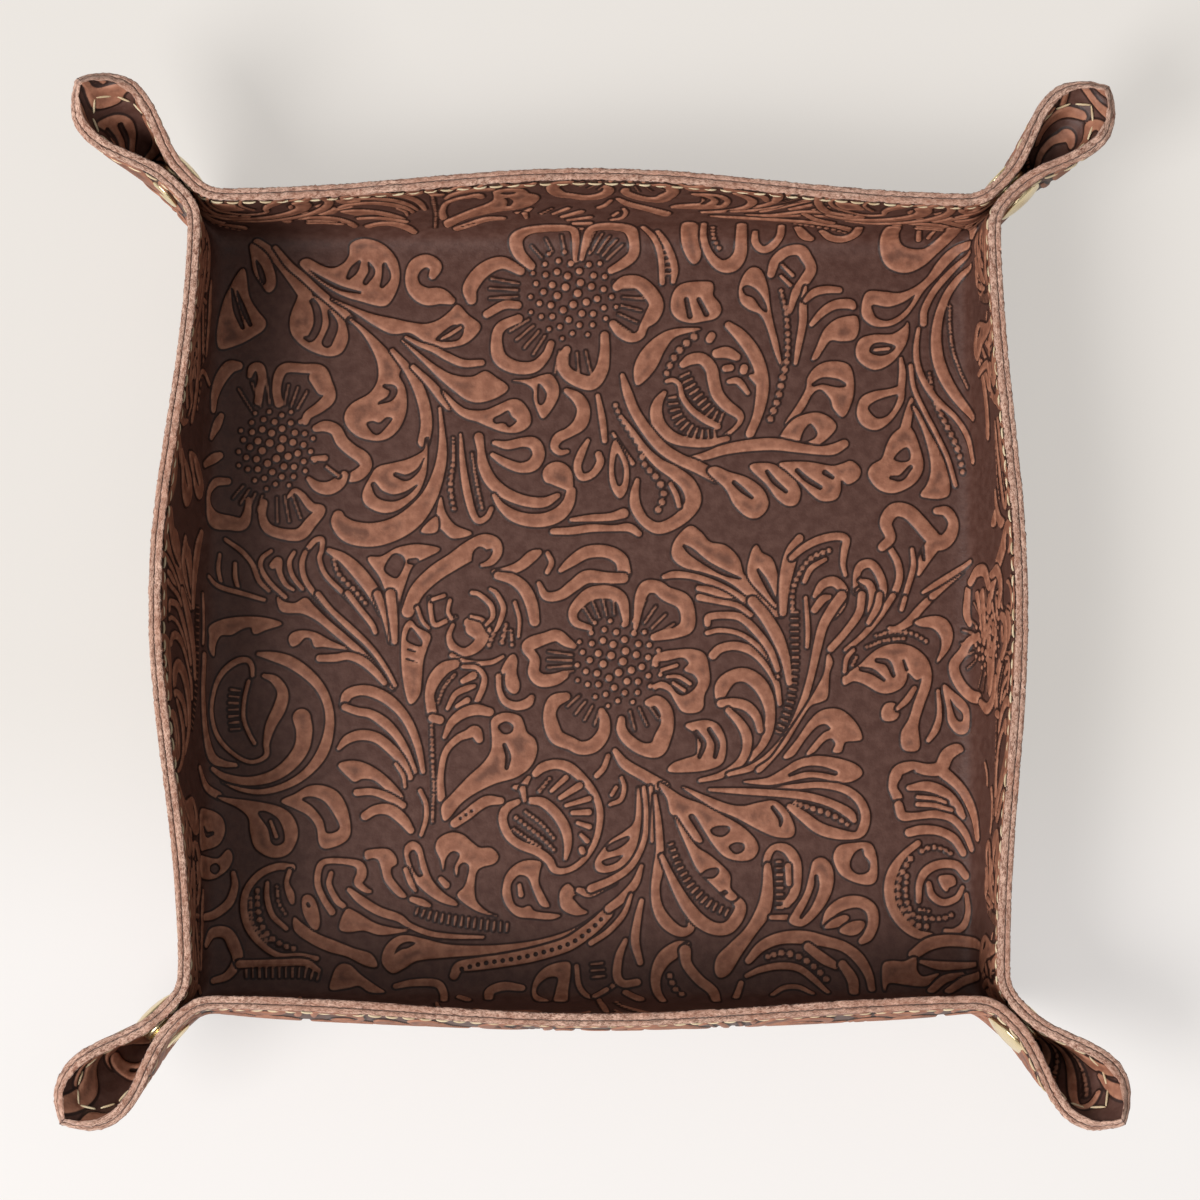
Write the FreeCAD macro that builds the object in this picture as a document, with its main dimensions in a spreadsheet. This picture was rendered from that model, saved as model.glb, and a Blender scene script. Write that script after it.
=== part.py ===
"""Valet tray: a square of double leather, folded up on four sides and pinched into ears by corner snaps.

Frame: millimetres, +Z up, origin under the middle of the base. The north side faces +Y, and the other sides
are the same pieces turned about Z. Each wall has an ear half at both ends: its west end carries the cap and
socket of a snap, and its east end carries the stud and post of the next one.
"""
import FreeCAD, Part
import math
import os

import Sketcher

Vector = FreeCAD.Vector

# Driving dimensions: name, value in millimetres, meaning
DIMENSIONS = [
    ("inner_half", 100.0, "half the width between facing walls, at the inner faces"),
    ("lining_thickness", 2.0, "inner leather layer"),
    ("cover_thickness", 2.0, "outer leather layer"),
    ("fold_radius", 5.0, "inner radius of the fold between base and wall"),
    ("rim_height", 44.0, "height of the rim over the surface that the tray stands on"),
    ("wall_bow", 5.0, "how far the middle of a wall's rim stands out from its ends"),
    ("neck_run", 8.0, "wall end to the corner where two inner faces meet"),
    ("joint_clearance", 0.15, "room between pieces that turn against each other"),
    ("neck_half_gap", 1.0, "inner face of a pinched ear half to the corner's mirror plane"),
    ("crease_clearance", 0.15, "cut end of an ear half to the crease round the tip"),
    ("neck_radius", 9.0, "bend from wall to ear at the rim"),
    ("neck_radius_low", 5.5, "bend from wall to ear at the foot"),
    ("pinch_end", 17.0, "corner to the end of the pinched stretch at the rim"),
    ("pinch_end_low", 3.8, "corner to the end of the pinched stretch at the foot"),
    ("pinch_radius", 16.0, "bend where the ear opens at the rim"),
    ("pinch_radius_low", 5.5, "bend where the ear opens at the foot"),
    ("belly_station", 30.0, "corner to the widest point of the ear at the rim"),
    ("belly_station_low", 5.5, "corner to the widest point of the ear at the foot"),
    ("belly_half_gap", 5.6, "half the ear's opening at its widest, before rounding, at the rim"),
    ("belly_half_gap_low", 1.6, "half the ear's opening at its widest, before rounding, at the foot"),
    ("belly_radius", 14.0, "bend at the ear's widest point at the rim"),
    ("belly_radius_low", 3.0, "bend at the ear's widest point at the foot"),
    ("tip_station", 40.0, "corner to the inside of the ear's tip at the rim"),
    ("tip_station_low", 8.5, "corner to the inside of the ear's tip at the foot"),
    ("tip_half_gap", 2.0, "half the ear's opening at its tip, before rounding, at the rim"),
    ("tip_half_gap_low", 1.5, "half the ear's opening at its tip, before rounding, at the foot"),
    ("tip_radius", 2.2, "bend round the tip at the rim"),
    ("tip_radius_low", 1.0, "bend round the tip at the foot"),
    ("seam_drop", 4.0, "rim to the seam"),
    ("thread_radius", 0.25, "sewing thread"),
    ("thread_standoff", 0.3, "thread surface to the leather face, measured level"),
    ("snap_station", 10.0, "corner to the axis of the snap"),
    ("snap_drop", 12.5, "rim to the axis of the snap"),
    ("cap_radius", 7.5, "snap cap"),
    ("cap_edge", 0.7, "height of the cap's edge"),
    ("cap_height", 2.4, "height of the cap's crown over the leather"),
    ("barrel_radius", 1.5, "barrels of the cap and the post"),
    ("barrel_clearance", 0.08, "room round a barrel"),
    ("flare_radius", 2.2, "barrel end spread inside the socket"),
    ("flare_height", 0.3, "length of the spread end"),
    ("socket_radius", 5.0, "socket and stud flange"),
    ("socket_height", 2.2, "socket from its back to its mouth"),
    ("socket_floor", 0.7, "socket floor"),
    ("mouth_radius", 2.75, "socket mouth"),
    ("window_clearance", 0.25, "room round the socket and the stud flange in the lining"),
    ("seat_clearance", 0.05, "room between the snap and the leather that it clamps"),
    ("stud_flange", 0.9, "thickness of the stud's flange"),
    ("stud_neck_radius", 2.1, "stud below its ball"),
    ("stud_ball_radius", 2.45, "stud at its ball"),
    ("stud_ball_height", 0.8, "length of the ball"),
    ("stud_reach", 1.6, "stud's end past the corner's mirror plane"),
    ("post_flange_radius", 5.0, "post's head on the outside"),
    ("post_flange_height", 0.9, "thickness of the post's head"),
]

# Side: name, turn about Z from the north side, corner at its cap end, corner at its stud end
SIDES = [
    ("north", 0.0, "north_west", "north_east"),
    ("east", -90.0, "north_east", "south_east"),
    ("south", 180.0, "south_east", "south_west"),
    ("west", 90.0, "south_west", "north_west"),
]

doc = FreeCAD.newDocument("valet_tray")
sheet = doc.addObject("Spreadsheet::Sheet", "Sizes")
for row, (alias, number, meaning) in enumerate(DIMENSIONS, start=1):
    sheet.set(f"A{row}", alias)
    sheet.set(f"B{row}", str(number))
    sheet.setAlias(f"B{row}", alias)
    sheet.set(f"C{row}", meaning)
doc.recompute()

# Places that several pieces share, worked out from the sheet
LEATHER = "(Sizes.lining_thickness + Sizes.cover_thickness)"
FLAT_HALF = "(Sizes.inner_half - Sizes.fold_radius)"
WALL_HALF = "(Sizes.inner_half - Sizes.neck_run)"
FOLD_TOP = f"({LEATHER} + Sizes.fold_radius)"
WALL_FOOT = f"({FOLD_TOP} + Sizes.joint_clearance)"
SEAM_HEIGHT = "(Sizes.rim_height - Sizes.seam_drop)"
GLUE_LINE = "(Sizes.neck_half_gap + Sizes.lining_thickness)"
OUTER_FACE = f"(Sizes.neck_half_gap + {LEATHER})"
WALL_ARC = f"(({WALL_HALF}^2 + Sizes.wall_bow^2) / (2 * Sizes.wall_bow))"

sub_parts = []


def measure(expression):
    """The number that an expression of sheet cells comes to."""
    return float(sheet.evalExpression(expression))


def size(alias):
    """The number in one cell of the sheet."""
    return measure("Sizes." + alias)


def side_placement(turn):
    """Placement that turns a north piece to another side."""
    return FreeCAD.Placement(Vector(0, 0, 0), FreeCAD.Rotation(Vector(0, 0, 1), turn))


def keep(piece, label, placement):
    """Name a finished sub-part and put it in its place."""
    piece.Label = label
    piece.Placement = placement
    sub_parts.append(piece)


def profile_sketch(body, name, role, corners, arcs=None, level=None):
    """Closed sketch on an origin plane of the body.

    corners are pairs of expressions. arcs maps the number of an edge to its radius expression and the side of
    its centre, 1 for left of the way round and -1 for right. level lifts the sketch off its plane.
    """
    arcs = arcs or {}
    plane = [item for item in body.Origin.OriginFeatures if item.Role == role][0]
    sketch = body.newObject("Sketcher::SketchObject", name)
    sketch.AttachmentSupport = [(plane, "")]
    sketch.MapMode = "FlatFace"
    if level:
        sketch.setExpression("AttachmentOffset.Base.z", level)
    points = [Vector(measure(across), measure(up), 0) for across, up in corners]
    ends = []
    for index, start in enumerate(points):
        finish = points[(index + 1) % len(points)]
        if index not in arcs:
            sketch.addGeometry(Part.LineSegment(start, finish))
            ends.append((1, 2))
            continue
        radius_expression, centre_side = arcs[index]
        radius = measure(radius_expression)
        chord = finish - start
        left = Vector(-chord.y, chord.x, 0).normalize()
        centre = (start + finish) / 2 + left * centre_side * math.sqrt(radius**2 - chord.Length**2 / 4)
        first, last = (start, finish) if centre_side > 0 else (finish, start)
        first_angle = math.atan2(first.y - centre.y, first.x - centre.x)
        last_angle = math.atan2(last.y - centre.y, last.x - centre.x)
        circle = Part.Circle(centre, Vector(0, 0, 1), radius)
        sketch.addGeometry(Part.ArcOfCircle(circle, first_angle, last_angle))
        ends.append((1, 2) if centre_side > 0 else (2, 1))
    for index, (across, up) in enumerate(corners):
        start_end, finish_end = ends[index]
        following = (index + 1) % len(corners)
        next_start = ends[following][0]
        sketch.addConstraint(Sketcher.Constraint("Coincident", index, finish_end, following, next_start))
        for kind, axis, expression in (("DistanceX", -2, across), ("DistanceY", -1, up)):
            if expression == "0":
                sketch.addConstraint(Sketcher.Constraint("PointOnObject", index, start_end, axis))
                continue
            distance = Sketcher.Constraint(kind, -1, 1, index, start_end, measure(expression))
            number = sketch.addConstraint(distance)
            sketch.setExpression(f"Constraints[{number}]", expression)
        if index in arcs:
            number = sketch.addConstraint(Sketcher.Constraint("Radius", index, measure(arcs[index][0])))
            sketch.setExpression(f"Constraints[{number}]", arcs[index][0])
    return sketch


def base_panel(label, bottom, thickness):
    """Flat square panel of one leather layer."""
    body = doc.addObject("PartDesign::Body", label)
    low = f"-{FLAT_HALF}"
    corners = [(low, low), (FLAT_HALF, low), (FLAT_HALF, FLAT_HALF), (low, FLAT_HALF)]
    sketch = profile_sketch(body, label + "_outline", "XY_Plane", corners, level=bottom)
    pad = body.newObject("PartDesign::Pad", label + "_pad")
    pad.Profile = sketch
    pad.setExpression("Length", thickness)
    keep(body, label, side_placement(0))


def fold_solid(name, radius):
    """Quarter rod along the fold with a quarter of a ball at its east end."""
    rod = doc.addObject("Part::Cylinder", name + "_rod")
    rod.Angle = 90
    rod.setExpression("Radius", radius)
    rod.setExpression("Height", f"2 * {FLAT_HALF}")
    rod.Placement = FreeCAD.Placement(Vector(0, 0, 0), FreeCAD.Rotation(Vector(0, 1, 0), 90))
    rod.setExpression("Placement.Base.x", f"-{FLAT_HALF}")
    ball = doc.addObject("Part::Sphere", name + "_ball")
    ball.Angle1 = -90
    ball.Angle2 = 0
    ball.Angle3 = 90
    ball.setExpression("Radius", radius)
    ball.setExpression("Placement.Base.x", FLAT_HALF)
    for solid in (rod, ball):
        solid.setExpression("Placement.Base.y", FLAT_HALF)
        solid.setExpression("Placement.Base.z", FOLD_TOP)
    joined = doc.addObject("Part::Fuse", name)
    joined.Base = rod
    joined.Tool = ball
    return joined


def fold_layer(name, inner_radius, outer_radius):
    """One leather layer of a fold."""
    layer = doc.addObject("Part::Cut", name)
    layer.Base = fold_solid(name + "_outside", outer_radius)
    layer.Tool = fold_solid(name + "_inside", inner_radius)
    return layer


def base_fold(label, inner_radius, outer_radius):
    """One leather layer of the band that bends up all round the base."""
    ring = doc.addObject("Part::MultiFuse", label)
    layers = []
    for side, turn, _, _ in SIDES:
        layer = fold_layer(f"{side}_{label}", inner_radius, outer_radius)
        layer.Placement = side_placement(turn)
        layers.append(layer)
    ring.Shapes = layers
    keep(ring, label, side_placement(0))


def wall_layer(label, turn, near, thickness):
    """One leather layer of a wall: straight at its foot and bowed outwards at its rim."""
    body = doc.addObject("PartDesign::Body", label)
    low = f"-{WALL_HALF}"
    far = f"{near} + {thickness}"
    corners = [(low, near), (WALL_HALF, near), (WALL_HALF, far), (low, far)]
    foot = profile_sketch(body, label + "_foot", "XY_Plane", corners, level=WALL_FOOT)
    bow = {0: (WALL_ARC, -1), 2: (WALL_ARC, 1)}
    rim = profile_sketch(body, label + "_rim", "XY_Plane", corners, arcs=bow, level="Sizes.rim_height")
    loft = body.newObject("PartDesign::AdditiveLoft", label + "_loft")
    loft.Profile = foot
    loft.Sections = [rim]
    loft.Ruled = True
    keep(body, label, side_placement(turn))


def wall_stitching(side, turn):
    """Needle and bobbin threads along the wall, one on each face."""
    share = f"(({SEAM_HEIGHT} - {WALL_FOOT}) / (Sizes.rim_height - {WALL_FOOT}))"
    bow = f"(Sizes.wall_bow * {share})"
    arc = f"(({WALL_HALF}^2 + {bow}^2) / (2 * {bow}))"
    sweep = f"(2 * asin({WALL_HALF} / {arc}))"
    lift = "(Sizes.thread_radius + Sizes.thread_standoff)"
    name = side + "_wall_stitching"
    faces = {"needle": f"Sizes.inner_half - {lift}", "bobbin": f"Sizes.inner_half + {LEATHER} + {lift}"}
    threads = []
    for thread_name, face in faces.items():
        thread = doc.addObject("Part::Torus", f"{name}_{thread_name}")
        thread.setExpression("Radius1", arc)
        thread.setExpression("Radius2", "Sizes.thread_radius")
        thread.setExpression("Angle3", sweep)
        start = FreeCAD.Rotation(Vector(0, 0, 1), 90 - measure(sweep) / 2)
        thread.Placement = FreeCAD.Placement(Vector(0, 0, 0), start)
        thread.setExpression("Placement.Base.y", f"{face} + {bow} - {arc}")
        thread.setExpression("Placement.Base.z", SEAM_HEIGHT)
        threads.append(thread)
    seam = doc.addObject("Part::Compound", name)
    seam.Links = threads
    keep(seam, name, side_placement(turn))


def ear_lines(share, offset):
    """Guide lines of an ear half on the north side of the north-east corner, and the bends between them.

    share runs from 0 at the foot to 1 at the rim. offset is the distance outwards from the inner face. Each
    line is a point and a heading, and each bend is a radius at the inner face.
    """
    def at_level(alias):
        return size(alias + "_low") * (1 - share) + size(alias) * share

    corner = Vector(size("inner_half"), size("inner_half"), 0)
    along = Vector(1, 1, 0).normalize()
    across = Vector(-1, 1, 0).normalize()

    def station(distance, gap):
        return corner + along * distance + across * gap

    pinch = station(at_level("pinch_end"), size("neck_half_gap"))
    belly = station(at_level("belly_station"), at_level("belly_half_gap"))
    tip = station(at_level("tip_station"), at_level("tip_half_gap"))
    bow_angle = 2 * math.atan(size("wall_bow") * share / measure(WALL_HALF))
    wall_heading = Vector(math.cos(bow_angle), -math.sin(bow_angle), 0)
    wall_end = Vector(measure(WALL_HALF) + size("joint_clearance"), size("inner_half") + offset, 0)
    lines = [(wall_end, wall_heading)]
    for point, heading in [
        (pinch, along),
        (pinch, (belly - pinch).normalize()),
        (tip, (tip - belly).normalize()),
        (tip, across * -1),
    ]:
        left = Vector(-heading.y, heading.x, 0)
        lines.append((point + left * offset, heading))
    radii = [at_level(name) for name in ("neck_radius", "pinch_radius", "belly_radius", "tip_radius")]
    return lines, radii


def crossing(first, second):
    """Point where two level lines cross."""
    (start, heading), (point, other) = first, second
    gap = point - start
    reach = (gap.x * other.y - gap.y * other.x) / (heading.x * other.y - heading.y * other.x)
    return start + heading * reach


def ear_bends(share, offset, height):
    """Wall end of an ear half, its four bends as start, middle and end points, and the heading to its tip."""
    lines, radii = ear_lines(share, offset)
    lift = Vector(0, 0, height)
    bends = []
    for before, after, radius in zip(lines, lines[1:], radii):
        corner = crossing(before, after)
        turn = math.atan2(before[1].cross(after[1]).z, before[1].dot(after[1]))
        bend = radius - offset if turn > 0 else radius + offset
        reach = bend * math.tan(abs(turn) / 2)
        towards_centre = (after[1] - before[1]).normalize()
        middle = corner + towards_centre * bend * (1 / math.cos(turn / 2) - 1)
        points = (corner - before[1] * reach, middle, corner + after[1] * reach)
        bends.append([point + lift for point in points])
    return lines[0][0] + lift, bends, lines[3][1]


def joined_edges(start, bends, finish=None):
    """Straight runs and arcs by turns, from start round each bend, and on to finish where there is one."""
    edges = []
    for arc_start, middle, arc_end in bends:
        edges.append(Part.LineSegment(start, arc_start).toShape())
        edges.append(Part.Arc(arc_start, middle, arc_end).toShape())
        start = arc_end
    if finish:
        edges.append(Part.LineSegment(start, finish).toShape())
    return edges


def half_edges(share, offset, height):
    """One face of an ear half, from the wall's end to where the crease begins."""
    start, bends, _ = ear_bends(share, offset, height)
    return joined_edges(start, bends[:3])


def crease_edges(share, offset, height):
    """One face of the crease round the ear's tip, from one half to the other."""
    _, bends, heading = ear_bends(share, offset, height)
    start = bends[2][2] + heading * size("crease_clearance")
    tip_bend = bends[3]
    other_bend = [Vector(point.y, point.x, point.z) for point in reversed(tip_bend)]
    return joined_edges(start, [tip_bend, other_bend], Vector(start.y, start.x, start.z))


def ear_layer(face_edges, near, far):
    """One leather layer between two faces, lofted from the foot of the ear to its rim."""
    sections = []
    for share, height in ((0, measure(WALL_FOOT)), (1, size("rim_height"))):
        inside = face_edges(share, near, height)
        outside = face_edges(share, far, height)
        finish = Part.LineSegment(inside[-1].Vertexes[-1].Point, outside[-1].Vertexes[-1].Point).toShape()
        start = Part.LineSegment(outside[0].Vertexes[0].Point, inside[0].Vertexes[0].Point).toShape()
        sections.append(Part.Wire(inside + [finish] + outside[::-1] + [start]))
    return Part.makeLoft(sections, True, True)


def snap_axis_point(reach):
    """Point on the snap's axis at the north-east corner, reach outwards from the corner's mirror plane."""
    station = size("inner_half") + size("snap_station") / math.sqrt(2)
    away = reach / math.sqrt(2)
    return Vector(station - away, station + away, size("rim_height") - size("snap_drop"))


def snap_cut(radius, near, far):
    """Round cutter on the snap's axis at the north-east corner."""
    return Part.makeCylinder(radius, far - near, snap_axis_point(near), Vector(-1, 1, 0))


def ear_shapes(seat_radius):
    """Lining, cover and seam of the ear half at a wall's east end, with a seat for a snap of that radius."""
    foot, rim = measure(WALL_FOOT), size("rim_height")
    glue, outer = size("lining_thickness"), measure(LEATHER)
    window = snap_cut(size("socket_radius") + size("window_clearance"), 0, measure(GLUE_LINE))
    hole = snap_cut(size("barrel_radius") + size("barrel_clearance"), 0, measure(OUTER_FACE))
    seat_end = measure(OUTER_FACE) + size("cap_height") + outer
    seat = snap_cut(seat_radius + size("window_clearance"), measure(OUTER_FACE), seat_end)
    lining = ear_layer(half_edges, 0, glue).cut([window, hole, seat])
    cover = ear_layer(half_edges, glue, outer).cut([hole, seat])

    share = (measure(SEAM_HEIGHT) - foot) / (rim - foot)
    lift = size("thread_radius") + size("thread_standoff")
    threads = []
    for offset in (-lift, outer + lift):
        path = Part.Wire(half_edges(share, offset, measure(SEAM_HEIGHT)))
        first = path.Edges[0]
        heading = first.tangentAt(first.FirstParameter)
        ring = Part.Circle(first.Vertexes[0].Point, heading, size("thread_radius"))
        threads.append(path.makePipeShell([Part.Wire(ring.toShape())], True, False))
    return {"lining": lining, "cover": cover, "stitching": Part.makeCompound(threads)}


def crease_shape():
    """Both leather layers of the crease round the tip of the north-east ear."""
    glue, outer = size("lining_thickness"), measure(LEATHER)
    layers = [ear_layer(crease_edges, 0, glue), ear_layer(crease_edges, glue, outer)]
    return Part.makeCompound(layers)


def mirrored(shape):
    """The same shape at the other end of its wall."""
    return shape.mirror(Vector(0, 0, 0), Vector(1, 0, 0))


def leather_piece(label, turn, shape):
    """Sub-part with a bent leather or thread shape made for the north side."""
    piece = doc.addObject("Part::Feature", label)
    piece.Shape = shape
    keep(piece, label, side_placement(turn))


def turned_piece(label, corners, arcs, turn, west_end):
    """Snap piece turned about its axis, which points outwards from the corner's mirror plane."""
    body = doc.addObject("PartDesign::Body", label)
    sketch = profile_sketch(body, label + "_profile", "XZ_Plane", corners, arcs)
    spin = body.newObject("PartDesign::Revolution", label + "_turning")
    spin.Profile = sketch
    spin.ReferenceAxis = (sketch, ["V_Axis"])
    spin.Angle = 360
    point = snap_axis_point(0)
    outwards = Vector(-1, 1, 0)
    if west_end:
        point.x = -point.x
        outwards.x = -outwards.x
    place = FreeCAD.Placement(point, FreeCAD.Rotation(Vector(0, 0, 1), outwards))
    keep(body, label, side_placement(turn) * place)


def snap(corner, cap_turn, stud_turn):
    """The four pieces of a closed snap: cap and socket on one ear half, stud and post on the other."""
    barrel = "Sizes.barrel_radius"
    bore = "(Sizes.barrel_radius + Sizes.barrel_clearance)"
    head = f"({OUTER_FACE} + Sizes.seat_clearance)"
    back = f"({GLUE_LINE} - Sizes.seat_clearance)"
    floor = f"({back} - Sizes.socket_floor)"
    flare = f"({floor} - Sizes.seat_clearance)"
    mouth = f"({back} - Sizes.socket_height)"
    crown = f"({head} + Sizes.cap_height)"
    cap_edge = f"({head} + Sizes.cap_edge)"
    dome = "(Sizes.cap_height - Sizes.cap_edge)"
    cap_corners = [
        ("0", f"{flare} - Sizes.flare_height"),
        ("Sizes.flare_radius", f"{flare} - Sizes.flare_height"),
        ("Sizes.flare_radius", flare),
        (barrel, flare),
        (barrel, head),
        ("Sizes.cap_radius", head),
        ("Sizes.cap_radius", cap_edge),
        ("0", crown),
    ]
    dome_arc = {6: (f"(Sizes.cap_radius^2 + {dome}^2) / (2 * {dome})", 1)}
    turned_piece(corner + "_snap_cap", cap_corners, dome_arc, cap_turn, True)

    socket_corners = [
        (bore, floor),
        ("Sizes.mouth_radius", floor),
        ("Sizes.mouth_radius", mouth),
        ("Sizes.socket_radius", mouth),
        ("Sizes.socket_radius", back),
        (bore, back),
    ]
    turned_piece(corner + "_snap_socket", socket_corners, None, cap_turn, True)

    flange = f"({back} - Sizes.stud_flange)"
    ball = "(Sizes.stud_ball_height - Sizes.stud_reach)"
    bore_end = "(Sizes.stud_ball_height / 2 - Sizes.stud_reach)"
    stud_corners = [
        ("0", "-Sizes.stud_reach"),
        ("Sizes.stud_neck_radius", "-Sizes.stud_reach"),
        ("Sizes.stud_ball_radius", bore_end),
        ("Sizes.stud_neck_radius", ball),
        ("Sizes.stud_neck_radius", flange),
        ("Sizes.socket_radius", flange),
        ("Sizes.socket_radius", back),
        (bore, back),
        (bore, bore_end),
        ("0", bore_end),
    ]
    turned_piece(corner + "_snap_stud", stud_corners, None, stud_turn, False)

    post_top = f"({head} + Sizes.post_flange_height)"
    post_corners = [
        ("0", f"{bore_end} + Sizes.seat_clearance"),
        (barrel, f"{bore_end} + Sizes.seat_clearance"),
        (barrel, head),
        ("Sizes.post_flange_radius", head),
        ("Sizes.post_flange_radius", f"{head} + Sizes.post_flange_height / 2"),
        ("Sizes.post_flange_radius - Sizes.post_flange_height", post_top),
        ("0", post_top),
    ]
    turned_piece(corner + "_snap_post", post_corners, None, stud_turn, False)


base_panel("outer_base", None, "Sizes.cover_thickness")
base_panel("inner_base", "Sizes.cover_thickness", "Sizes.lining_thickness")

glue_radius = "(Sizes.fold_radius + Sizes.lining_thickness)"
base_fold("base_fold_lining", "Sizes.fold_radius", glue_radius)
base_fold("base_fold_cover", glue_radius, f"(Sizes.fold_radius + {LEATHER})")

cap_shapes = ear_shapes(size("cap_radius"))
stud_shapes = ear_shapes(size("post_flange_radius"))
stud_turns = {stud_corner: turn for _, turn, _, stud_corner in SIDES}
glue_face = "(Sizes.inner_half + Sizes.lining_thickness)"
for side_name, side_turn, cap_corner, stud_corner in SIDES:
    wall_layer(side_name + "_wall_lining", side_turn, "Sizes.inner_half", "Sizes.lining_thickness")
    wall_layer(side_name + "_wall_cover", side_turn, glue_face, "Sizes.cover_thickness")
    wall_stitching(side_name, side_turn)
    for layer_name in cap_shapes:
        leather_piece(f"{cap_corner}_cap_ear_{layer_name}", side_turn, mirrored(cap_shapes[layer_name]))
        leather_piece(f"{stud_corner}_stud_ear_{layer_name}", side_turn, stud_shapes[layer_name])
    leather_piece(f"{cap_corner}_ear_crease", side_turn, mirrored(crease_shape()))
    snap(cap_corner, side_turn, stud_turns[cap_corner])

doc.recompute()

for item in doc.Objects:
    if "Invalid" in item.State or "Error" in item.State:
        raise RuntimeError(f"{item.Label} failed: {item.State}")
for piece in sub_parts:
    if piece.Shape.isNull() or not piece.Shape.isValid() or not piece.Shape.Solids:
        raise RuntimeError(f"{piece.Label} has no valid solid")

os.makedirs("parts", exist_ok=True)
for piece in sub_parts:
    piece.Shape.exportStep(f"parts/{piece.Label}.step")
    print(f"{piece.Label}: {len(piece.Shape.Solids)} solids, {piece.Shape.Volume:.1f} mm3")
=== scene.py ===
"""Looks of the valet tray: embossed double leather, raw rim, cream seams and gold snaps.

The leather is one flat square sheet that is folded, so it is worked out on a grid in sheet coordinates, u to
the east and v to the north, in millimetres, and cut into pieces; the base's pieces ride on the frame's base.
"""
import math

import bpy
import numpy as np
from mathutils import Matrix, Vector


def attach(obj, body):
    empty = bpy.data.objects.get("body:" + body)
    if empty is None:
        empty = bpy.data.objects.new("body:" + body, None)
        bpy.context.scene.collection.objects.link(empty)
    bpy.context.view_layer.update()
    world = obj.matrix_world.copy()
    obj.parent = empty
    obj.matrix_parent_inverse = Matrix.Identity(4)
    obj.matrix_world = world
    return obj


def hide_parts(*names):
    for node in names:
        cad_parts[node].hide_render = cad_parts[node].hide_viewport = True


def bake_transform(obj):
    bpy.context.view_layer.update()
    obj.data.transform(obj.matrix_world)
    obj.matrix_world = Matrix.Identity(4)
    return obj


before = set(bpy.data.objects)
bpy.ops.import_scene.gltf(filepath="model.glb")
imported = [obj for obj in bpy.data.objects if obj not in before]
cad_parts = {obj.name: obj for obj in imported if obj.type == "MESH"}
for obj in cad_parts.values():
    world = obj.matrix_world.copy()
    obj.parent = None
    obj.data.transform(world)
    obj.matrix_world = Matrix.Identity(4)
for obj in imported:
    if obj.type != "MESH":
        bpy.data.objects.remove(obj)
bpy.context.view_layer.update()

MM = 0.001
# A length too small to matter and one beyond the whole sheet, in millimetres
TINY = 1e-9
FAR = 1e3

# The sheet and its folds, in millimetres
INNER_HALF = 100.0
WALL_WIDTH = 40.0
LAYER = 2.0
LEATHER = 2 * LAYER
SHEET_HALF = INNER_HALF + WALL_WIDTH
GRID_STEP = 0.5
GRID_MARGIN = 12.0
BACK_EVERY = 4
FOLD_SOFTNESS = 3.5
PINCH_GAP = 0.18
PINCH_END = 12.0
PINCH_SLOPE = 0.62
EAR_BELLY = 7.2
EAR_STRETCH = 1.13
EAR_STATIONS = (0, 0.24, 0.48, 0.64, 0.84, 1)
EAR_GAPS = (0, 0.42, 0.88, 1, 0.9, 0.45)
# Powers that shape how an ear opens upwards, how a rim bows and how a belly fades at the corners
EAR_RISE = 1.2
BOW_SHAPE = 1.2
BELLY_FADE = 6

# Where the sheet is cut into the pieces that move: the base's edge and the lower end of the ears
BASE_HALF = 92.0
EAR_FOOT = 106.0

# Side: name, corner at its cap end, corner at its stud end, bow of its rim, belly of its wall
SIDES = (
    ("north", "north_west", "north_east", 6.0, 1.5),
    ("east", "north_east", "south_east", 5.8, 1.5),
    ("south", "south_east", "south_west", 4.2, 2.8),
    ("west", "south_west", "north_west", 8.7, 1.5),
)

RELIEF = 0.5
SEAM_DROP = 4.0
SEAM_OUT = SHEET_HALF - SEAM_DROP
STITCH_PITCH = 4.2
STITCH_LENGTH = 3.3
THREAD_RADIUS = 0.31

# Both layers are pared thinner towards the rim
PARED_FROM = 122.0
PARED = {"lining": 0.05, "cover": 0.6}

grid_half = SHEET_HALF + GRID_MARGIN
grid_line = np.arange(-grid_half, grid_half + GRID_STEP / 2, GRID_STEP)
grid_count = len(grid_line)
grid_u, grid_v = np.meshgrid(grid_line, grid_line, indexing="ij")
grid_out = np.maximum(np.abs(grid_u), np.abs(grid_v))


def grid_index(place):
    """Number of the grid line at a sheet coordinate."""
    return int(round((place + grid_half) / GRID_STEP))


def pared(layer, out):
    """How far a layer's face is pared back at a distance from the sheet's middle."""
    share = np.clip((out - PARED_FROM) / (SHEET_HALF - PARED_FROM), 0, 1)
    return PARED[layer] * share * share * (3 - 2 * share)


def ear_gap(along, height):
    """Distance of an ear half's inner face from the corner's mirror plane."""
    pinch = np.minimum(PINCH_END, PINCH_SLOPE * height)
    share = np.clip((along - pinch) / np.maximum(height - pinch, TINY), 0, 1)
    belly = EAR_BELLY * np.clip(height / WALL_WIDTH, 0, None) ** EAR_RISE
    return PINCH_GAP + belly * np.interp(share, EAR_STATIONS, EAR_GAPS)


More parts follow.
